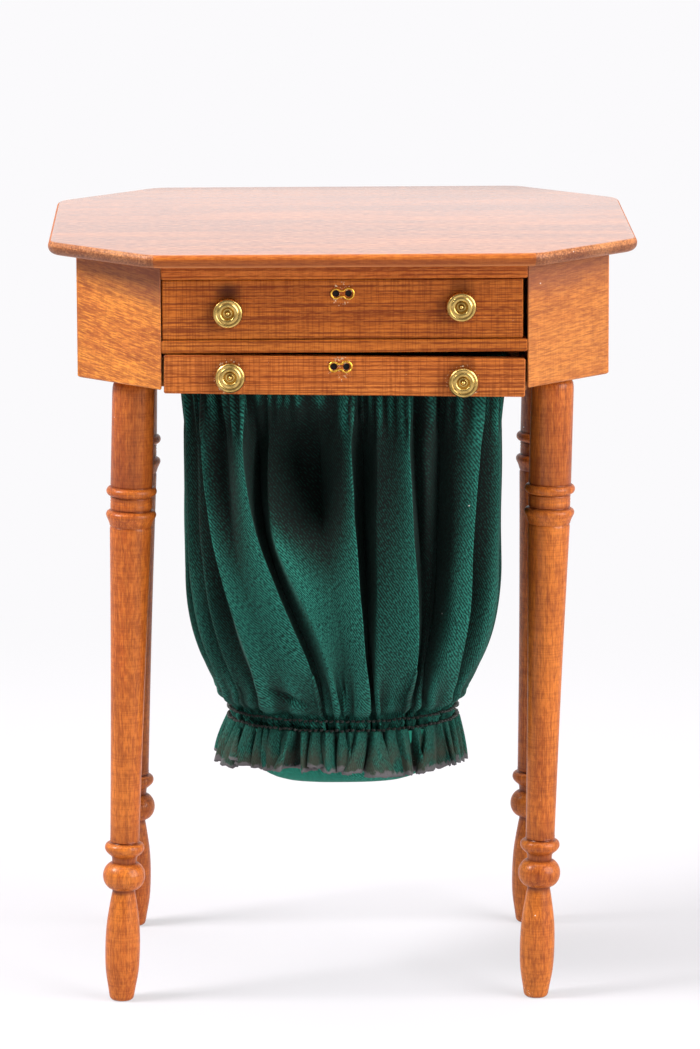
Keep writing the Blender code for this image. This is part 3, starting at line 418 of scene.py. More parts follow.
def turn(profile, sides):
    """A closed lathe shape about Z from (radius, height) points in millimetres, top to bottom."""
    edit = bmesh.new()
    verts = [edit.verts.new((radius * MM, 0, height * MM)) for radius, height in profile]
    edges = [edit.edges.new(pair) for pair in zip(verts, verts[1:])]
    bmesh.ops.spin(edit, geom=verts + edges, cent=(0, 0, 0), axis=(0, 0, 1),
                   angle=2 * math.pi, steps=sides, use_merge=True)
    close_up(edit)
    return edit


def arc(middle, half_height, inner, outer, points, squareness):
    """Profile points of a half-round bead, from its top to its bottom."""
    for step in range(points + 1):
        angle = math.pi * step / points
        radius = inner + (outer - inner) * math.sin(angle) ** squareness
        yield radius, middle + half_height * math.cos(angle)


# Table top: a canted slab with slightly rounded corners, whose rounded edge draws further in below

TOP_CANT, TOP_CORNER, EDGE_STEPS = 7.8, 0.9, 8
# Each half of the edge is a quarter of an ellipse: how far it draws in, and its share of the thickness.
UPPER_EDGE, LOWER_EDGE = (0.34, 0.42), (0.56, 0.58)


def make_top():
    low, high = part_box("table_top")
    wide, deep = high.x / MM, high.y / MM
    short_wide, short_deep = wide - TOP_CANT, deep - TOP_CANT
    thickness = (high.z - low.z) / MM
    widest = low.z / MM + LOWER_EDGE[1] * thickness
    outline = [
        (-short_wide, -deep), (short_wide, -deep), (wide, -short_deep), (wide, short_deep),
        (short_wide, deep), (-short_wide, deep), (-wide, short_deep), (-wide, -short_deep),
    ]
    edit = bmesh.new()
    verts = [edit.verts.new((x * MM, y * MM, widest * MM)) for x, y in outline]
    edit.faces.new(verts)
    bmesh.ops.bevel(edit, geom=verts, offset=TOP_CORNER * MM, offset_type="OFFSET", affect="VERTICES",
                    segments=6, profile=0.5, material=-1)
    lower = edit.faces[:][0]
    upper = raise_face(edit, lower)
    bmesh.ops.recalc_face_normals(edit, faces=edit.faces)
    for face, (draw_in, share) in ((upper, UPPER_EDGE), (lower, LOWER_EDGE)):
        for step in range(EDGE_STEPS):
            before, after = (math.pi / 2 * count / EDGE_STEPS for count in (step, step + 1))
            inset = draw_in * (math.cos(before) - math.cos(after))
            lift = share * thickness * (math.sin(after) - math.sin(before))
            bmesh.ops.inset_region(
                edit, faces=[face], thickness=inset * MM, depth=lift * MM, use_even_offset=True)
    close_up(edit)
    shade(edit, 32)
    upper_face, long_edge, canted_edge = range(3)
    for side in edit.faces:
        x, y, z = side.normal
        canted = min(abs(x), abs(y)) > 0.3 * math.hypot(x, y)
        side.material_index = upper_face if z > 0.9 else canted_edge if canted else long_edge
    top = add_piece(edit, "canted_top", TOP_WOOD, "table", ["table_top"])
    top.data.materials.append(EDGE_WOOD)
    top.data.materials.append(END_WOOD)


# Turned legs

CARCASS_BOTTOM = 49.35
LEG_TOP_X, LEG_TOP_RADIUS, FOOT_RADIUS = 16.119, 1.67, 0.975
# Each leg was set by hand: its side, its lean to the left in degrees, and its step to the right.
LEG_STANDS = {
    "front_left": (-1, 1.7, 0.0), "front_right": (1, 1.4, 0.0),
    "back_left": (-1, 0.9, -0.15), "back_right": (1, 1.4, 0.42),
}


# The turning, as (radius, drop from the leg's top): the rounded shoulder, and the lower collar, which tapers
# away below. Between them are the upper collar and two fine scored lines.
SHOULDER = (
    (1.18, 0.0), (1.36, 0.10), (1.49, 0.24), (1.58, 0.42), (1.625, 0.68), (1.64, 1.0), (1.64, 8.25),
    (1.59, 8.34),
)
LOWER_COLLAR = (
    (1.61, 10.10), (1.55, 10.16), (1.56, 10.22), (1.74, 10.28), (1.88, 10.38), (1.94, 10.52), (1.94, 10.62),
    (1.90, 10.76), (1.82, 10.92), (1.74, 11.10), (1.68, 11.28), (1.64, 11.44), (1.57, 11.50), (1.61, 11.57),
)
# As (radius, height): a scored line and the ring with its sharp upper edge, and, under the ball, the vase,
# which swells from its neck, stays full, and draws in to the foot.
RING = (
    (1.15, 12.98), (1.08, 12.92), (1.14, 12.86), (1.15, 12.78), (1.06, 12.70), (1.10, 12.64), (1.36, 12.60),
    (1.47, 12.50), (1.53, 12.34), (1.54, 12.18), (1.49, 12.02), (1.38, 11.86), (1.23, 11.72), (1.08, 11.61),
    (0.99, 11.48), (0.965, 11.32), (0.955, 11.16),
)
VASE = (
    (0.90, 8.84), (0.885, 8.72), (0.93, 8.5), (1.0, 8.1), (1.08, 7.6), (1.165, 7.05), (1.24, 6.5),
    (1.30, 5.9), (1.335, 5.3), (1.355, 4.7), (1.36, 4.1), (1.35, 3.4), (1.325, 2.8), (1.285, 2.3),
    (1.22, 1.8), (1.14, 1.35), (1.06, 0.9), (1.0, 0.5), (0.96, 0.28), (0.90, 0.12), (0.78, 0.02),
    (0.70, 0.0), (0.0, 0.0),
)


def leg_profile(top):
    """(radius, height from the floor along the leg), from the shoulder down to the foot."""
    yield 0.0, top
    for radius, drop in SHOULDER:
        yield radius, top - drop
    yield from arc(top - 8.75, 0.36, 1.60, 1.95, 16, 1.0)
    yield 1.58, top - 9.16
    yield 1.62, top - 9.22
    for drop in (9.42, 9.66):
        yield 1.62, top - drop + 0.09
        yield 1.59, top - drop
        yield 1.62, top - drop - 0.09
    for radius, drop in LOWER_COLLAR:
        yield radius, top - drop
    shaft_top = top - 11.7
    for step in range(13):
        share = step / 12
        waist = 0.055 * math.sin(math.pi * share)
        yield 1.63 + (1.13 - 1.63) * share - waist, shaft_top + (12.82 - shaft_top) * share
    yield from RING
    yield from arc(9.98, 1.06, 0.94, 1.65, 22, 1.22)
    yield from VASE


def mark_hollows(edit, profile):
    """Keeps, as an attribute, how far each place of a turning lies below the 0.5 mm above and below it."""
    radii, heights = np.array(profile[::-1]).T
    fine = np.arange(0, heights[-1], 0.05)
    radius = np.interp(fine, heights, radii)
    around = np.convolve(np.pad(radius, 10, mode="edge"), np.ones(21) / 21, "valid")
    hollow = np.clip((around - radius) / 0.22, 0, 0.85)
    layer = edit.verts.layers.float.new("hollow")
    for vert in edit.verts:
        vert[layer] = float(np.interp(vert.co.z / MM, fine, hollow))


def make_legs():
    for corner, (side, degrees, step) in LEG_STANDS.items():
        low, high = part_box(corner + "_leg")
        lean = math.radians(degrees)
        # The foot's rim stands on the floor under the lean, and the shoulder's clears the carcass.
        foot_drop = FOOT_RADIUS * math.sin(lean)
        rise = CARCASS_BOTTOM - 0.02 - LEG_TOP_RADIUS * math.sin(lean) - foot_drop
        profile = list(leg_profile(rise / math.cos(lean)))
        edit = turn(profile, 48)
        mark_hollows(edit, profile)
        foot_x = side * LEG_TOP_X + step - rise * math.tan(lean)
        place = Matrix.Translation((foot_x * MM, (low.y + high.y) / 2, foot_drop * MM))
        bmesh.ops.transform(edit, matrix=place @ Matrix.Rotation(lean, 4, "Y"), verts=edit.verts)
        shade(edit, 40)
        add_piece(edit, "turned_leg_" + corner, LEG_WOOD, "table", [corner + "_leg"])


# Brass knobs and keyhole plates

FRONTS = (("drawer", "drawer"), ("bag", "bag_drawer"))
FACING_FRONT = Matrix.Rotation(math.radians(90), 4, "X")
# As (radius, height above the front), from the button in the middle to the foot.
KNOB = (
    (0.0, 0.66), (0.08, 0.65), (0.13, 0.61), (0.16, 0.54), (0.18, 0.47), (0.22, 0.42), (0.30, 0.40),
    (0.38, 0.42), (0.44, 0.48), (0.48, 0.55), (0.53, 0.59), (0.62, 0.605), (0.72, 0.60), (0.79, 0.575),
    (0.83, 0.55), (0.87, 0.56), (0.93, 0.585), (1.0, 0.58), (1.07, 0.55), (1.12, 0.50), (1.16, 0.43),
    (1.18, 0.35), (1.16, 0.28), (1.08, 0.23), (0.85, 0.21), (0.66, 0.18), (0.56, 0.14), (0.55, 0.0),
    (0.0, 0.0),
)


def make_knobs():
    for prefix, body in FRONTS:
        for side in ("left", "right"):
            name = f"{prefix}_knob_{side}"
            x, z = middle_of(name)
            edit = turn(KNOB, 56)
            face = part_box(prefix + "_front")[0].y
            stretch = (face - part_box(name)[0].y) / MM / KNOB[0][1]
            out = FACING_FRONT @ Matrix.Diagonal((1, 1, stretch, 1))
            place = Matrix.Translation((x, face - 0.01 * MM, z))
            bmesh.ops.transform(edit, matrix=place @ out, verts=edit.verts)
            bmesh.ops.recalc_face_normals(edit, faces=edit.faces)
            shade(edit, 45)
            add_piece(edit, f"brass_{name}", BRASS, body, [name])


# A keyhole plate's two eyes: each hole's distance from the middle, the eyes' radii and half the waist.
EYE_REACH, LEFT_EYE, RIGHT_EYE, HALF_WAIST = 0.475, 0.45, 0.5, 0.30
HOLE_RADIUS, HOLE_DEPTH = 0.255, 0.12
# The rim's rise and fall, as (step inwards, step up).
PLATE_RIM = ((0.015, 0.07), (0.035, 0.045), (0.04, 0.01), (0.04, -0.01), (0.035, -0.045), (0.012, -0.07))


def plate_outline():
    """Two round eyes of unlike size joined by a waist, anticlockwise seen from the front."""
    points = []
    for centre, radius, facing in ((EYE_REACH, RIGHT_EYE, 0.0), (-EYE_REACH, LEFT_EYE, math.pi)):
        half_open = math.asin(HALF_WAIST / radius)
        for step in range(17):
            angle = facing + (math.pi - half_open) * (step / 8 - 1)
            points.append((centre + radius * math.cos(angle), radius * math.sin(angle)))
    return points


def make_plates():
    """Each plate is a raised brass rim round the two drilled holes of the front."""
    for prefix, body in FRONTS:
        name = prefix + "_keyhole_plate"
        middle_x, middle_z = middle_of(name)
        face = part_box(prefix + "_front")[0].y
        edit = bmesh.new()
        foot = edit.faces.new([edit.verts.new((x * MM, y * MM, 0)) for x, y in plate_outline()])
        crown = raise_face(edit, foot)
        for inwards, up in PLATE_RIM:
            bmesh.ops.inset_region(edit, faces=[crown], thickness=inwards * MM, depth=up * MM)
        bmesh.ops.delete(edit, geom=[crown, foot], context="FACES_ONLY")
        bmesh.ops.remove_doubles(edit, verts=edit.verts, dist=1e-8)
        open_edges = [edge for edge in edit.edges if edge.is_boundary]
        bmesh.ops.bridge_loops(edit, edges=open_edges)
        bmesh.ops.recalc_face_normals(edit, faces=edit.faces)
        place = Matrix.Translation((middle_x, face, middle_z))
        bmesh.ops.transform(edit, matrix=place @ FACING_FRONT, verts=edit.verts)
        shade(edit, 60)
        add_piece(edit, f"brass_{name}", PLATE_BRASS, body, [name])
        # Black discs at the bottoms of the drilled holes: painted shade.
        edit = bmesh.new()
        for side in (-1, 1):
            hole = Matrix.Translation((middle_x + side * EYE_REACH * MM, face + HOLE_DEPTH * MM, middle_z))
            bmesh.ops.create_circle(
                edit, cap_ends=True, segments=24, radius=HOLE_RADIUS * MM, matrix=hole @ FACING_FRONT)
        add_piece(edit, prefix + "_hole_shadows", HOLE_SHADE, body, [])


# Gathered bag

MOUTH_HALF_X, MOUTH_HALF_Y = 12.59, 12.89
NECK_HALF_X, NECK_HALF_Y = 9.12, 6.6
BAG_TOP, NECK_LEVEL, NECK_BAND = 51.33, 20.70, 1.4
SHOULDER_LENGTH, SHOULDER_ROUNDNESS = 12.5, 0.6
BAG_MIDDLE_Y, NECK_BACK_SHIFT = -3.5, 0.6
CORNER_POWER = 5.0

# Fold lines of the bag's front, from left to right, at these heights: how many times the cloth's curve counts
# the line, which makes a fold crisper, then its x across and its depth in from the bag's outer form.
FOLD_LEVELS = (51.4, 48.5, 46.0, 43.0, 40.0, 37.0, 34.0, 31.0, 28.0, 25.5, 23.2, 22.0)
FRONT_FOLDS = {
    "left_rim": (1, (-12, -12, -12, -12, -12, -11.9, -11.5, -10.9, -10.2, -9.3, -8.6, -8.2),
     (0.2, 0.2, 0.2, 0.2, 0.2, 0.15, 0.1, 0.1, 0.1, 0.1, 0.15, 0.2)),
    "first_valley": (2, (-11.6, -11.6, -11.6, -11.6, -11.4, -10.9, -10.2, -9.5, -8.6, -7.8, -7.3, -7),
     (0.4, 1.2, 1.8, 2.2, 2.3, 2.3, 2.2, 2, 1.8, 1.6, 1.2, 0.7)),
    "broad_left": (2, (-11.1, -11.1, -11.1, -11, -10.7, -10.2, -9.5, -8.5, -7.6, -6.9, -6.3, -6),
     (0.1, 0.1, 0, 0, 0, 0, 0, 0, 0, 0.05, 0.1, 0.2)),
    "broad_dip": (2, (-10.2, -10.2, -10.1, -9.9, -9.4, -8.8, -8, -7, -5.8, -4.9, -4.5, -4.4),
     (0.3, 1.2, 1.9, 2, 1.7, 1.1, 0.6, 0.4, 0.35, 0.5, 0.9, 0.6)),
    "broad_crest": (1, (-8.9, -8.9, -8.8, -8.6, -8.1, -7.4, -6.5, -5.4, -4.3, -3.5, -3, -2.9),
     (0.1, 0.5, 0.6, 0.5, 0.25, 0.1, 0.05, 0.05, 0.05, 0.1, 0.2, 0.25)),
    "broad_edge": (2, (-7.9, -7.9, -7.9, -7.8, -7.3, -6.5, -5.4, -4.2, -3, -2.2, -1.8, -1.7),
     (0.1, 0.1, 0, 0, 0, 0, 0, 0, 0, 0, 0.1, 0.2)),
    "broad_tuck": (1, (-7.9, -7.9, -8, -8, -7.5, -6.7, -5.6, -4.4, -3.2, -2.35, -1.8, -1.6),
     (0.3, 0.9, 1.6, 2, 1.8, 1.5, 1.2, 1.1, 1, 0.9, 0.6, 0.4)),
    "left_hollow": (2, (-7.1, -7.1, -7.1, -7.1, -6.8, -6.2, -5.2, -3.95, -2.7, -1.9, -1.45, -1.4),
     (0.3, 0.6, 3.6, 5.4, 4.6, 3, 2.3, 2.1, 2, 1.7, 1.3, 0.7)),
    "triangle": (2, (-5.5, -5.5, -5.8, -6.1, -6, -5.3, -4, -2.6, -1.6, -1, -0.6, -0.5),
     (0.1, 0.2, 3.2, 3.1, 0.8, -0.3, -0.3, 0, 0, 0, 0, 0.2)),
    "hollow_left": (2, (-3.8, -3.8, -3.7, -3.6, -3.3, -2.9, -2.1, -1.2, -0.7, -0.3, -0.05, 0),
     (0.1, 0.1, 3.4, 6.2, 4.2, 1, 0.25, 0.25, 0.5, 0.9, 1.1, 0.7)),
    "hollow_right": (2, (-2, -2, -1.9, -1.8, -1.7, -1.6, -1.1, -0.6, -0.2, 0.05, 0.3, 0.3),
     (0.1, 0.1, 3.4, 6.2, 4.8, 1.5, 0.45, 0.4, 0.6, 0.9, 1, 0.7)),
    "strip_left": (1, (-0.5, -0.5, -0.6, -0.6, -0.4, -0.2, 0, 0.3, 0.5, 0.7, 0.7, 0.7),
     (0.2, 0.5, 1.3, 1.4, 0.9, 0.45, 0.25, 0.2, 0.15, 0.15, 0.2, 0.25)),
    "strip_edge": (2, (0.6, 0.6, 0.5, 0.5, 0.7, 0.9, 1.1, 1.4, 1.6, 1.8, 1.9, 1.9),
     (0.1, 0.1, 0, 0, 0, 0, 0, 0, 0, 0, 0.1, 0.2)),
    "strip_tuck": (1, (0.6, 0.6, 0.5, 0.35, 0.5, 0.7, 0.9, 1.2, 1.4, 1.65, 1.85, 1.95),
     (0.3, 0.8, 1.6, 2.2, 2.2, 2.2, 2.1, 1.9, 1.7, 1.3, 0.8, 0.4)),
    "black_valley": (2, (1.3, 1.3, 1.4, 1.5, 1.5, 1.6, 1.7, 1.8, 1.9, 2.1, 2.3, 2.35),
     (0.4, 1, 2.4, 4.2, 4.6, 4.6, 4.4, 4, 3.4, 2.6, 1.9, 0.9)),
    "wide_tuck": (1, (2.2, 2.2, 2.3, 2.3, 2.2, 2.1, 2.2, 2.1, 2.1, 2.3, 2.6, 2.7),
     (0.4, 0.9, 1.4, 1.9, 1.9, 1.8, 1.7, 1.6, 1.4, 1.1, 0.7, 0.4)),
    "wide_left": (2, (2.35, 2.35, 2.4, 2.45, 2.4, 2.35, 2.4, 2.35, 2.35, 2.5, 2.8, 2.85),
     (0.2, 0.5, 0.8, 1, 0.95, 0.9, 0.8, 0.6, 0.4, 0.2, 0.2, 0.25)),
    "wide_middle": (1, (3.5, 3.5, 3.5, 3.6, 3.7, 3.7, 3.8, 3.9, 3.9, 3.8, 3.5, 3.4),
     (0.4, 1.3, 1.2, 1, 0.85, 0.7, 0.55, 0.4, 0.35, 0.9, 1.7, 0.9)),
    "wide_edge": (2, (4.8, 4.8, 4.9, 5, 5.2, 5.4, 5.6, 5.7, 5.7, 5.5, 4.9, 4.7),
     (0.1, 0.1, 0.05, 0, 0, 0, 0, 0, 0, 0.05, 0.1, 0.2)),
    "wide_right_tuck": (1, (4.9, 4.9, 4.95, 5, 5.2, 5.35, 5.55, 5.65, 5.65, 5.5, 5, 4.8),
     (0.4, 0.8, 1.1, 1.2, 1.4, 1.6, 1.6, 1.5, 1.3, 1, 0.7, 0.4)),
    "narrow_valley": (2, (5.3, 5.3, 5.4, 5.5, 5.7, 5.9, 6.1, 6.2, 6.2, 5.95, 5.45, 5.2),
     (0.5, 1.4, 1.9, 2, 2.5, 3.1, 3.3, 3.2, 2.9, 2.2, 1.6, 0.8)),
    "small_crest": (1, (6.3, 6.3, 6.4, 6.4, 6.5, 6.7, 6.9, 6.9, 6.6, 6.25, 5.85, 5.6),
     (0.1, 0.2, 0.2, 0.3, 1, 2.2, 2.8, 2.8, 2.3, 1.2, 0.2, 0.2)),
    "dark_valley": (2, (7.7, 7.7, 7.7, 7.8, 7.8, 7.7, 7.6, 7.3, 6.9, 6.6, 6.3, 6.1),
     (0.7, 1.8, 2.7, 3.3, 3.6, 3.7, 3.6, 3.4, 3, 2.3, 1.6, 0.8)),
    "right_left": (1, (8.5, 8.5, 8.5, 8.5, 8.4, 8.3, 8.2, 7.9, 7.3, 6.95, 6.9, 6.7),
     (0.3, 0.8, 1, 1.1, 1.1, 0.9, 0.7, 0.5, 0.35, 0.25, 0.25, 0.25)),
    "right_crest": (1, (9.6, 9.6, 9.5, 9.4, 9.3, 9.1, 8.9, 8.7, 8.2, 7.8, 7.6, 7.3),
     (0.1, 0.3, 0.35, 0.3, 0.25, 0.2, 0.15, 0.05, 0, 0, 0.1, 0.2)),
    "right_edge": (2, (10.8, 10.8, 10.6, 10.4, 10.1, 9.9, 9.8, 9.6, 9.2, 8.8, 8.2, 7.8),
     (0.1, 0.1, 0.05, 0, 0, 0, 0, 0, 0, 0.05, 0.1, 0.2)),
    "right_tuck": (1, (10.9, 10.9, 10.65, 10.4, 10.1, 9.9, 9.8, 9.6, 9.25, 8.85, 8.3, 7.9),
     (0.3, 0.8, 1.3, 1.5, 1.5, 1.5, 1.5, 1.4, 1.2, 0.9, 0.6, 0.4)),
    "right_valley": (2, (11.3, 11.3, 11.2, 11, 10.9, 10.8, 10.6, 10.4, 10, 9.4, 8.7, 8.2),
     (0.6, 1.8, 2.6, 3, 3.1, 3.1, 2.9, 2.6, 2.2, 1.8, 1.3, 0.7)),
    "right_rim": (1, (11.9, 11.9, 11.95, 12, 12, 11.85, 11.6, 11.2, 10.6, 9.9, 9.1, 8.6),
     (0.2, 0.3, 0.25, 0.2, 0.2, 0.2, 0.15, 0.1, 0.1, 0.1, 0.1, 0.2)),
}
# Folds of the sides and the back, which are spread evenly but for chance.
REST_FOLDS = 18
BAG_ROWS = 92
SPAN_POINTS = 4
CLOTH_WALL = 0.12
# Heights of the two rows of gathering stitches.
UPPER_STITCHES, LOWER_STITCHES = 21.67, 20.92
# A short crease runs across the broad fold just above the thread: its two ends, as (x, height).
CREASE = ((-5.9, 24.9), (-3.1, 23.3))


def bag_form(height):
    """Half width, half depth, middle in Y and squareness of the bag's outer form at a height."""
    length = BAG_TOP - NECK_LEVEL
    share = (BAG_TOP - height) / (length - NECK_BAND)
    shoulder = min(1.0, max(0.0, 1 - (1 - share) * length / SHOULDER_LENGTH))
    drawn = (1 - math.sqrt(1 - SHOULDER_ROUNDNESS * shoulder**2)) / (1 - math.sqrt(1 - SHOULDER_ROUNDNESS))
    half_x = MOUTH_HALF_X + (NECK_HALF_X - MOUTH_HALF_X) * drawn
    half_y = MOUTH_HALF_Y + (NECK_HALF_Y - MOUTH_HALF_Y) * drawn
    return half_x, half_y, BAG_MIDDLE_Y + NECK_BACK_SHIFT * drawn, CORNER_POWER + (2 - CORNER_POWER) * drawn


def girth_line(half_x, half_y, middle, power, count=1440):
    """Points round a rounded form from its left, by the front and the right, to the left again,
    with their inward normals and the distance run."""
    angle = np.linspace(-math.pi, math.pi, count + 1)
    cosine, sine = np.cos(angle), np.sin(angle)
    x = half_x * np.sign(cosine) * np.abs(cosine) ** (2 / power)
    y = middle + half_y * np.sign(sine) * np.abs(sine) ** (2 / power)
    run = np.concatenate([[0], np.cumsum(np.hypot(np.diff(x), np.diff(y)))])
    even = np.linspace(0, run[-1], count + 1)
    x, y = np.interp(even, run, x), np.interp(even, run, y)
    ahead_x, ahead_y = (np.roll(line[:-1], -3) - np.roll(line[:-1], 3) for line in (x, y))
    size = np.hypot(ahead_x, ahead_y)
    in_x, in_y = np.append(-ahead_y / size, 0), np.append(ahead_x / size, 0)
    in_x[-1], in_y[-1] = in_x[0], in_y[0]
    return x, y, in_x, in_y, even


def sink_in(line, at, deep):
    """X and Y of points at these distances round a girth line, each sunk in by its depth."""
    x, y, in_x, in_y, run = line
    return [np.interp(at, run, place) + np.interp(at, run, inward) * deep
            for place, inward in ((x, in_x), (y, in_y))]


def smooth_rows(values, heights, reach):
    """Rounds a fold line off along its height."""
    weights = np.exp(-0.5 * ((heights[:, None] - heights[None, :]) / reach) ** 2)
    return (weights / weights.sum(1, keepdims=True)) @ values


def closed_spline(count, per_span):
    """Weights of a closed cubic B-spline: rows are samples, columns are control points."""
    weights = np.zeros((count * per_span, count))
    for span in range(count):
        for step in range(per_span):
            t = step / per_span
            shares = ((1 - t) ** 3, 3 * t**3 - 6 * t**2 + 4, -3 * t**3 + 3 * t**2 + 3 * t + 1, t**3)
            for offset, share in zip((-1, 0, 1, 2), shares):
                weights[span * per_span + step, (span + offset) % count] += share / 6
    return weights


def crease_depth(x, y, z):
    """Depth of the short crease at points of the bag's front."""
    (x0, z0), (x1, z1) = CREASE
    along = np.clip(((x - x0) * (x1 - x0) + (z - z0) * (z1 - z0)) / ((x1 - x0) ** 2 + (z1 - z0) ** 2), 0, 1)
    away = np.hypot(x - x0 - along * (x1 - x0), z - z0 - along * (z1 - z0))
    deep = 0.75 * np.sin(math.pi * (0.15 + 0.7 * along)) * np.exp(-(away / 0.3) ** 2)
    return np.where(y < BAG_MIDDLE_Y, deep, 0.0)


def bag_surface():
    """Rows of points of the gathered cloth, top to bottom, the flat place of each column and row, and the
    painted shade of each point, from its folds, the table above and the front board."""
    share = np.linspace(0, 1, BAG_ROWS)
    heights = BAG_TOP + (NECK_LEVEL - 0.35 - BAG_TOP) * (share + 0.10 * np.sin(math.pi * share) * share)
    levels = np.array(FOLD_LEVELS)[::-1]
    draw = np.random.default_rng(7)
    rest_at = (np.arange(REST_FOLDS) + 0.5 + draw.uniform(-0.22, 0.22, REST_FOLDS)) / REST_FOLDS
    rest_deep = draw.uniform(1.4, 2.8, REST_FOLDS)
    rest_lean = draw.uniform(-0.012, 0.012, REST_FOLDS)
    fade = np.interp(heights, (22.0, 23.2, 27.0, 44.0, 48.0, 51.3), (0.3, 0.6, 1.0, 1.0, 0.6, 0.15))
    front = []
    for crispness, across, deep in FRONT_FOLDS.values():
        fold_x = smooth_rows(np.interp(heights, levels, across[::-1]), heights, 0.9)
        fold_deep = smooth_rows(np.interp(heights, levels, deep[::-1]), heights, 0.7)
        front += [(fold_x, fold_deep)] * crispness
    # The thread draws the neck in twice, and the cloth above it bellies out a little.
    pinch = 0.0
    for level, reach, most in (
        (UPPER_STITCHES, 0.22, 0.30), (LOWER_STITCHES, 0.22, 0.30), (22.9, 0.7, -0.32),
    ):
        pinch = pinch + most * np.exp(-((heights - level) / reach) ** 2)
    rows, depths = [], []
    for row, height in enumerate(heights):
        form = bag_form(height)
        line = girth_line(*form)
        x, run = line[0], line[-1]
        half_x, half = form[0], len(x) // 2 + 1
        at = [np.interp(fold_x[row] * half_x / max(half_x, abs(fold_x[row]) + 1e-6), x[:half], run[:half])
              for fold_x, _ in front]
        deep = [fold_deep[row] for _, fold_deep in front]
        start, stop = at[-1], at[0] + run[-1]
        for place, valley, lean in zip(rest_at, rest_deep, rest_lean):
            for offset, d in ((-0.30, 0.1), (0.02, 0.0), (0.26, valley), (0.34, valley)):
                moved = place + offset / REST_FOLDS + lean * (1 - 2 * share[row])
                at.append(start + (stop - start) * moved)
                deep.append(d * fade[row] + 0.08)
        depths.append(deep)
        at, deep = np.array(at) % run[-1], np.array(deep) + pinch[row]
        rows.append(np.stack(sink_in(line, at, deep), axis=1))
    control = np.stack(rows)
    weights = closed_spline(control.shape[1], SPAN_POINTS)
    plan = np.einsum("sc,rcd->rsd", weights, control)
    # Flat width from the middle of the bag, where the cloth hangs free.
    middle = plan[int(BAG_ROWS * 0.45)]
    gap = np.roll(middle, -1, axis=0) - middle
    across = np.concatenate([[0], np.cumsum(np.hypot(gap[:, 0], gap[:, 1]))])
    # Fine gathers at the thread and under the frame, and slight unevenness all over.
    ahead = np.roll(plan, -2, axis=1) - np.roll(plan, 2, axis=1)
    size = np.linalg.norm(ahead, axis=2, keepdims=True)
    inward = np.stack([-ahead[..., 1], ahead[..., 0]], axis=2) / np.maximum(size, 1e-9)
    u = across[:-1][None, :]
    z = heights[:, None]
    at_mouth = np.interp(heights, (44.5, 47.0, 51.4), (0.0, 0.24, 0.34))[:, None]
    gathers = at_mouth * np.sin(2 * math.pi * (u / 1.3 + 0.45 * np.sin(u * 0.83) + 0.3 * np.sin(u * 0.31)))
    # Round tubes stand above the thread, and between the threads each stitch takes up one small rib.
    at_neck = np.interp(heights, (21.9, 22.4, 23.6, 27.0), (0.0, 0.30, 0.26, 0.0))[:, None]
    tubes = u / 2.7 + 0.5 * np.sin(u * 0.37) + 0.2 * np.sin(u * 1.1)
    gathers = gathers + at_neck * np.sin(2 * math.pi * tubes)
    lap = np.hypot(*np.moveaxis(np.roll(plan, -1, axis=1) - plan, 2, 0))
    girth = np.cumsum(lap, axis=1) / lap.sum(axis=1, keepdims=True) * 2 * math.pi
    gathers = gathers + np.interp(heights, (21.8, 22.2), (0.12, 0.0))[:, None] * np.sin(76 * girth)
    crease = crease_depth(plan[..., 0], plan[..., 1], z)
    sag = np.sin(u * 0.83 + 0.9 * np.sin(z * 0.35)) * np.sin(z * 0.55 + 0.7 * np.sin(u * 0.4))
    uneven = crease + 0.05 * sag
    plan = plan + inward * (gathers + uneven)[..., None]
    points = np.concatenate([plan, np.broadcast_to(heights[:, None, None], plan.shape[:2] + (1,))], axis=2)
    # How far each point has sunk below the bag's outer form, which sets its painted shade: dark in the folds,
    # and darker towards the table above.
    sunk = np.einsum("sc,rc->rs", weights, np.stack(depths)) + 3.5 * gathers + crease
    under_table = np.clip((z - 28.0) / 16.0, 0, 1)
    shade_gain = 1.25 + 2.0 * under_table**2 * (3 - 2 * under_table)
    painted_shade = 1 - np.exp(-np.maximum(sunk, 0) * shade_gain)
    # Painted shade of the front board on the cloth just under it.
    near_board = np.clip((z - 46.3) / 2.4, 0, 1)
    painted_shade = 1 - (1 - painted_shade) * (1 - 0.35 * near_board)
    painted_shade = np.concatenate([painted_shade, painted_shade[:, :1]], axis=1)
    return np.concatenate([points, points[:, :1]], axis=1), across, BAG_TOP - heights, painted_shade


def cloth_sheet(points, across, down, painted_shade):
    """A grid of cloth laid on rows of points in millimetres, with a UV map in millimetres of flat cloth,
    and with the painted shade of each point, from 0 to 1."""
    row_count, column_count = points.shape[:2]
    edit = bmesh.new()
    uv = edit.loops.layers.uv.new("flat_cloth")
    painted_fold_shade = edit.verts.layers.float.new("painted_fold_shade")
    bmesh.ops.create_grid(edit, x_segments=column_count - 1, y_segments=row_count - 1, size=1.0)
    place = {}
    for vert in edit.verts:
        column = round((vert.co.x + 1) / 2 * (column_count - 1))
        row = round((1 - vert.co.y) / 2 * (row_count - 1))
        place[vert] = (row, column)
    for face in edit.faces:
        face.smooth = True
        for loop in face.loops:
            row, column = place[loop.vert]
            loop[uv].uv = (across[column], down[row])
    for vert, (row, column) in place.items():
        vert.co = points[row, column] * MM
        vert[painted_fold_shade] = painted_shade[row, column]
    close_up(edit)
    return edit


def thicken(piece):
    """Gives the cloth its thickness, on the inside."""
    solidify = piece.modifiers.new("cloth_thickness", "SOLIDIFY")
    solidify.thickness = CLOTH_WALL * MM
    solidify.offset = -1.0


def make_bag():
    points, across, down, painted_shade = bag_surface()
    edit = cloth_sheet(points, across, down, painted_shade)
    bag = add_piece(edit, "gathered_bag", BAG_TWILL, "bag_drawer", ["bag_cloth"])
    thicken(bag)
    return bag, across[-1], down[-1]


# Ruffle: the loose end of the cloth below the thread

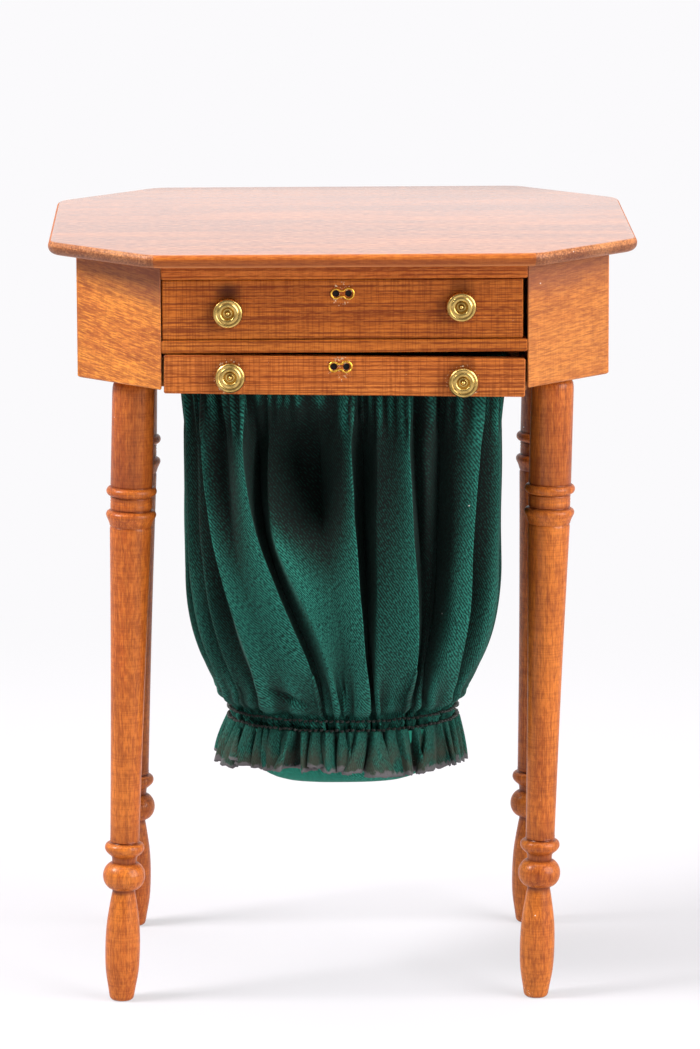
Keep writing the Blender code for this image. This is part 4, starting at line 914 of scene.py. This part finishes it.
RUFFLE_PLEATS, PLEAT_POINTS, RUFFLE_ROWS = 52, 14, 18
RUFFLE_TOP, RUFFLE_LENGTH, RUFFLE_FLARE = 20.85, 3.25, 0.7


def neck_line(clear=0.0):
    """The girth line of the bag's neck, standing clear of it by this much."""
    return girth_line(NECK_HALF_X + clear, NECK_HALF_Y + clear, BAG_MIDDLE_Y + NECK_BACK_SHIFT, 2.0)


def make_ruffle():
    draw = np.random.default_rng(11)
    widths = draw.uniform(0.5, 1.7, RUFFLE_PLEATS)
    edges = np.concatenate([[0], np.cumsum(widths)]) / widths.sum()
    count = RUFFLE_PLEATS * PLEAT_POINTS
    pleat = np.repeat(np.arange(RUFFLE_PLEATS), PLEAT_POINTS)
    phase = np.tile(np.arange(PLEAT_POINTS) / PLEAT_POINTS, RUFFLE_PLEATS)
    girth = edges[pleat] + (edges[pleat + 1] - edges[pleat]) * phase
    crest = draw.uniform(0.35, 1.1, RUFFLE_PLEATS)[pleat]
    lean = draw.uniform(-1.0, 1.0, RUFFLE_PLEATS)[pleat]
    hang = draw.normal(0, 0.24, RUFFLE_PLEATS)
    hang = hang[pleat] + 0.15 * np.sin(girth * 2 * math.pi * 3 + 1.0)
    nibble = draw.uniform(-0.09, 0.09, count)
    line = neck_line()
    x, run = line[0], line[-1]
    sideways = np.interp(girth * run[-1], run, x) / NECK_HALF_X
    left, right = (np.clip(side * sideways, 0, 1) ** 2 for side in (-1, 1))
    hang = hang - 0.4 * left + 0.3 * right
    wave = np.sin(2 * math.pi * phase) + 0.35 * np.sin(4 * math.pi * phase + 0.6)
    # Neighbouring pleats lean together, now one way and now the other.
    sway = 0.5 * np.sin(2 * math.pi * 9 * girth + 1.7) + 0.4 * np.sin(2 * math.pi * 17 * girth + 0.4)
    rows = []
    shares = np.arange(RUFFLE_ROWS) / (RUFFLE_ROWS - 1)
    for share in shares:
        out = RUFFLE_FLARE * (1 - 0.6 * right) * math.sin(math.pi / 2 * share) - 0.10
        deep = -out - (0.24 + 0.42 * share) * crest * wave
        slide = lean * share * np.cos(2 * math.pi * phase) * 0.8
        at = (girth * run[-1] + slide + sway * share**1.5) % run[-1]
        length = RUFFLE_LENGTH + hang * share + nibble * max(0.0, share - 0.9) * 10
        rows.append(np.stack([*sink_in(line, at, deep), RUFFLE_TOP - length * share], axis=1))
    points = np.stack(rows)
    points = np.concatenate([points, points[:, :1]], axis=1)
    gap = np.diff(points[-1], axis=0)
    across = np.concatenate([[0], np.cumsum(np.linalg.norm(gap, axis=1))])
    # Painted shade in the hollows between the pleats.
    painted_shade = np.clip(0.42 - 0.52 * crest * wave, 0.0, 0.95)
    painted_shade = np.tile(np.append(painted_shade, painted_shade[0]), (RUFFLE_ROWS, 1))
    edit = cloth_sheet(points, across, RUFFLE_LENGTH * shares, painted_shade)
    ruffle = add_piece(edit, "ruffled_end", RUFFLE_TWILL, "bag_drawer", ["bag_ruffle"])
    thicken(ruffle)
    return ruffle


# Base: the covered pad that closes the bag's bottom

BASE_RADIUS, BASE_STEPS = 8.0, 14


def make_base():
    low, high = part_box("bag_base")
    depth = (high.z - low.z) / MM * 0.94
    profile = [(0.0, 0.0), (BASE_RADIUS, 0.0)]
    for step in range(1, BASE_STEPS):
        angle = math.pi / 2 * step / BASE_STEPS
        profile.append((BASE_RADIUS * math.cos(angle) ** 0.4, -depth * math.sin(angle)))
    profile.append((0.0, -depth))
    edit = turn(profile, 72)
    uv = edit.loops.layers.uv.new("flat_cloth")
    for face in edit.faces:
        for loop in face.loops:
            loop[uv].uv = (loop.vert.co.x / MM, loop.vert.co.y / MM)
    # Its front and back are flatter than an ellipse.
    for vert in edit.verts:
        reach = math.hypot(vert.co.x, vert.co.y)
        if reach > 0:
            vert.co.xy *= (abs(vert.co.x / reach) ** 3 + abs(vert.co.y / reach) ** 3) ** (-1 / 3)
    squeeze = Matrix.Diagonal((1, NECK_HALF_Y / NECK_HALF_X, 1, 1))
    middle = ((low.x + high.x) / 2, (low.y + high.y) / 2, high.z)
    bmesh.ops.transform(edit, matrix=Matrix.Translation(middle) @ squeeze, verts=edit.verts)
    bmesh.ops.recalc_face_normals(edit, faces=edit.faces)
    shade(edit, 60)
    return add_piece(edit, "covered_base", BASE_TWILL, "bag_drawer", ["bag_base"])


# Gathering thread: two rows of running stitches, each stitch two plies twisted together

STITCH_PITCH, STITCH_SHARE, STITCH_POINTS = 0.42, 0.62, 7
PLY_RADIUS, PLY_TURNS = 0.055, 1.1


def make_thread(name, level, node, seed):
    draw = np.random.default_rng(seed)
    line = neck_line(0.02)
    girth = line[-1][-1]
    stitches = round(girth / STITCH_PITCH)
    pitch = girth / stitches
    curve = bpy.data.curves.new(name, "CURVE")
    curve.dimensions = "3D"
    curve.bevel_depth = PLY_RADIUS * MM
    curve.bevel_resolution = 1
    curve.use_fill_caps = True
    for stitch in range(stitches):
        start = stitch * pitch + draw.uniform(-0.05, 0.05)
        rise = draw.uniform(-0.05, 0.05)
        tip = draw.uniform(-0.07, 0.07)
        for ply in (0.0, math.pi):
            spline = curve.splines.new("POLY")
            spline.points.add(STITCH_POINTS - 1)
            for step, point in enumerate(spline.points):
                t = step / (STITCH_POINTS - 1)
                at = (start + STITCH_SHARE * pitch * t) % girth
                twist = ply + 2 * PLY_TURNS * math.pi * t
                # Each end of a stitch dips into the cloth.
                deep = 0.26 - 0.24 * math.sin(math.pi * t) ** 0.7 + PLY_RADIUS * math.cos(twist)
                x, y = sink_in(line, at, deep)
                z = level + rise + tip * (t - 0.5) + PLY_RADIUS * math.sin(twist)
                point.co = (x * MM, y * MM, z * MM, 1.0)
    drawn = show(name + "_line", curve)
    bpy.context.view_layer.update()
    mesh = bpy.data.meshes.new_from_object(drawn.evaluated_get(bpy.context.evaluated_depsgraph_get()))
    bpy.data.objects.remove(drawn)
    edit = bmesh.new()
    edit.from_mesh(mesh)
    close_up(edit)
    shade(edit, 50)
    return add_piece(edit, name, THREAD, "bag_drawer", [node])


# Stage: camera, floor, lights

# The camera's place in metres, its yaw, pitch and roll in degrees, and its lens on a 36 mm sensor.
CAMERA_PLACE = (-0.0070044, -0.458211, 0.122856)
CAMERA_TURN = (0.9578, 10.7847, -0.2068)
CAMERA_LENS = 201.93
ROOM_WHITE = "FBFAFC"


def aim_camera():
    yaw, pitch, roll = (math.radians(angle) for angle in CAMERA_TURN)
    forward = Vector((math.sin(yaw) * math.cos(pitch), math.cos(yaw) * math.cos(pitch), -math.sin(pitch)))
    right = Vector((math.cos(yaw), -math.sin(yaw), 0.0))
    up = right.cross(forward)
    across = right * math.cos(roll) + up * math.sin(roll)
    above = up * math.cos(roll) - right * math.sin(roll)
    data = bpy.data.cameras.new("photo_camera")
    data.sensor_width = 36.0
    data.lens = CAMERA_LENS
    data.clip_start = 0.01
    data.clip_end = 20.0
    camera = show("photo_camera", data)
    facing = Matrix((across, above, -forward)).transposed().to_4x4()
    camera.matrix_world = Matrix.Translation(CAMERA_PLACE) @ facing
    bpy.context.scene.camera = camera


def seen_rays(tree):
    """Light Path's outputs, and 1 for the rays that see the room: straight, in a gloss, or through glass."""
    rays = add(tree, "LightPath")
    seen = rays["Is Camera Ray"]
    for kind in ("Is Glossy Ray", "Is Transmission Ray"):
        seen = add(tree, "Math", {0: seen, 1: rays[kind]}, operation="MAXIMUM")[0]
    return rays, seen


def lay_floor():
    """Matt white sweep: it takes the table's soft shadow, and turns plain white further away."""
    material, tree, surface = start_material("white_sweep")
    place = add(tree, "TexCoord")["Object"]
    away = add(tree, "VectorMath", {0: place}, operation="LENGTH")["Value"]
    far = add(tree, "MapRange", {
        "Value": away, "From Min": 0.04, "From Max": 0.14, "To Min": 0.55},
        interpolation_type="SMOOTHSTEP")[0]
    _, seen = seen_rays(tree)
    share = add(tree, "Math", {0: far, 1: seen}, operation="MULTIPLY")[0]
    fill(tree, surface, {"Base Color": linear("CBC7CC"), "Roughness": 0.9, "Specular IOR Level": 0.1})
    white = add(tree, "Emission", {"Color": linear(ROOM_WHITE), "Strength": 1.0})[0]
    blend = add(tree, "MixShader", {0: share, 1: surface.outputs[0], 2: white})[0]
    fill(tree, tree.nodes["Material Output"], {"Surface": blend})
    edit = bmesh.new()
    bmesh.ops.create_grid(edit, x_segments=1, y_segments=1, size=3.0)
    mesh = bpy.data.meshes.new("floor")
    edit.to_mesh(mesh)
    edit.free()
    mesh.materials.append(material)
    floor = show("floor", mesh)
    floor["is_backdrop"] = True


def light_world():
    world = bpy.data.worlds.new("white_room")
    bpy.context.scene.world = world
    world.use_nodes = True
    tree = world.node_tree
    rays, seen = seen_rays(tree)
    # Behind the table the room is white, and in front of it, dimmer, which gives the brass its depth.
    direction = add(tree, "TexCoord")["Generated"]
    heading = add(tree, "SeparateXYZ", {"Vector": direction})["Y"]
    room = add(tree, "MapRange", {
        "Value": heading, "From Min": -0.7, "From Max": 0.2, "To Min": 0.3, "To Max": 1.0})[0]
    room = add(tree, "Math", {0: room, 1: rays["Is Camera Ray"]}, operation="MAXIMUM")[0]
    strength = add(tree, "MapRange", {"Value": seen, "To Min": 0.08, "To Max": room})[0]
    fill(tree, tree.nodes["Background"], {"Color": linear(ROOM_WHITE), "Strength": strength})


def hang_lamp(name, place, target, size, power):
    data = bpy.data.lights.new(name, "AREA")
    data.shape = "SQUARE"
    data.size = size
    data.energy = power
    lamp = show(name, data)
    lamp.location = place
    lamp.rotation_euler = (Vector(target) - Vector(place)).to_track_quat("-Z", "Y").to_euler()


def main():
    aim_camera()
    make_top()
    make_legs()
    make_knobs()
    make_plates()
    bag, flat_width, flat_length = make_bag()
    ruffle = make_ruffle()
    base = make_base()
    upper = make_thread("gathering_stitches_upper", UPPER_STITCHES, "gathering_thread_upper", 3)
    lower = make_thread("gathering_stitches_lower", LOWER_STITCHES, "gathering_thread_lower", 5)
    lay_floor()
    light_world()
    hang_lamp("overhead_box", (0.0, 0.04, 0.6), (0, 0, 0.03), 0.5, 2.7)
    hang_lamp("left_box", (-0.43, -0.11, 0.45), (0, 0, 0.04), 0.22, 5.2)
    hang_lamp("right_box", (0.48, -0.28, 0.28), (0, 0, 0.04), 0.5, 5.8)
    bpy.context.scene.view_settings.view_transform = "Standard"
    ({name: [list(corner) for corner in box]
               for name, box in (("cad", CAD_BOX), ("visual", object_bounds()))})


main()
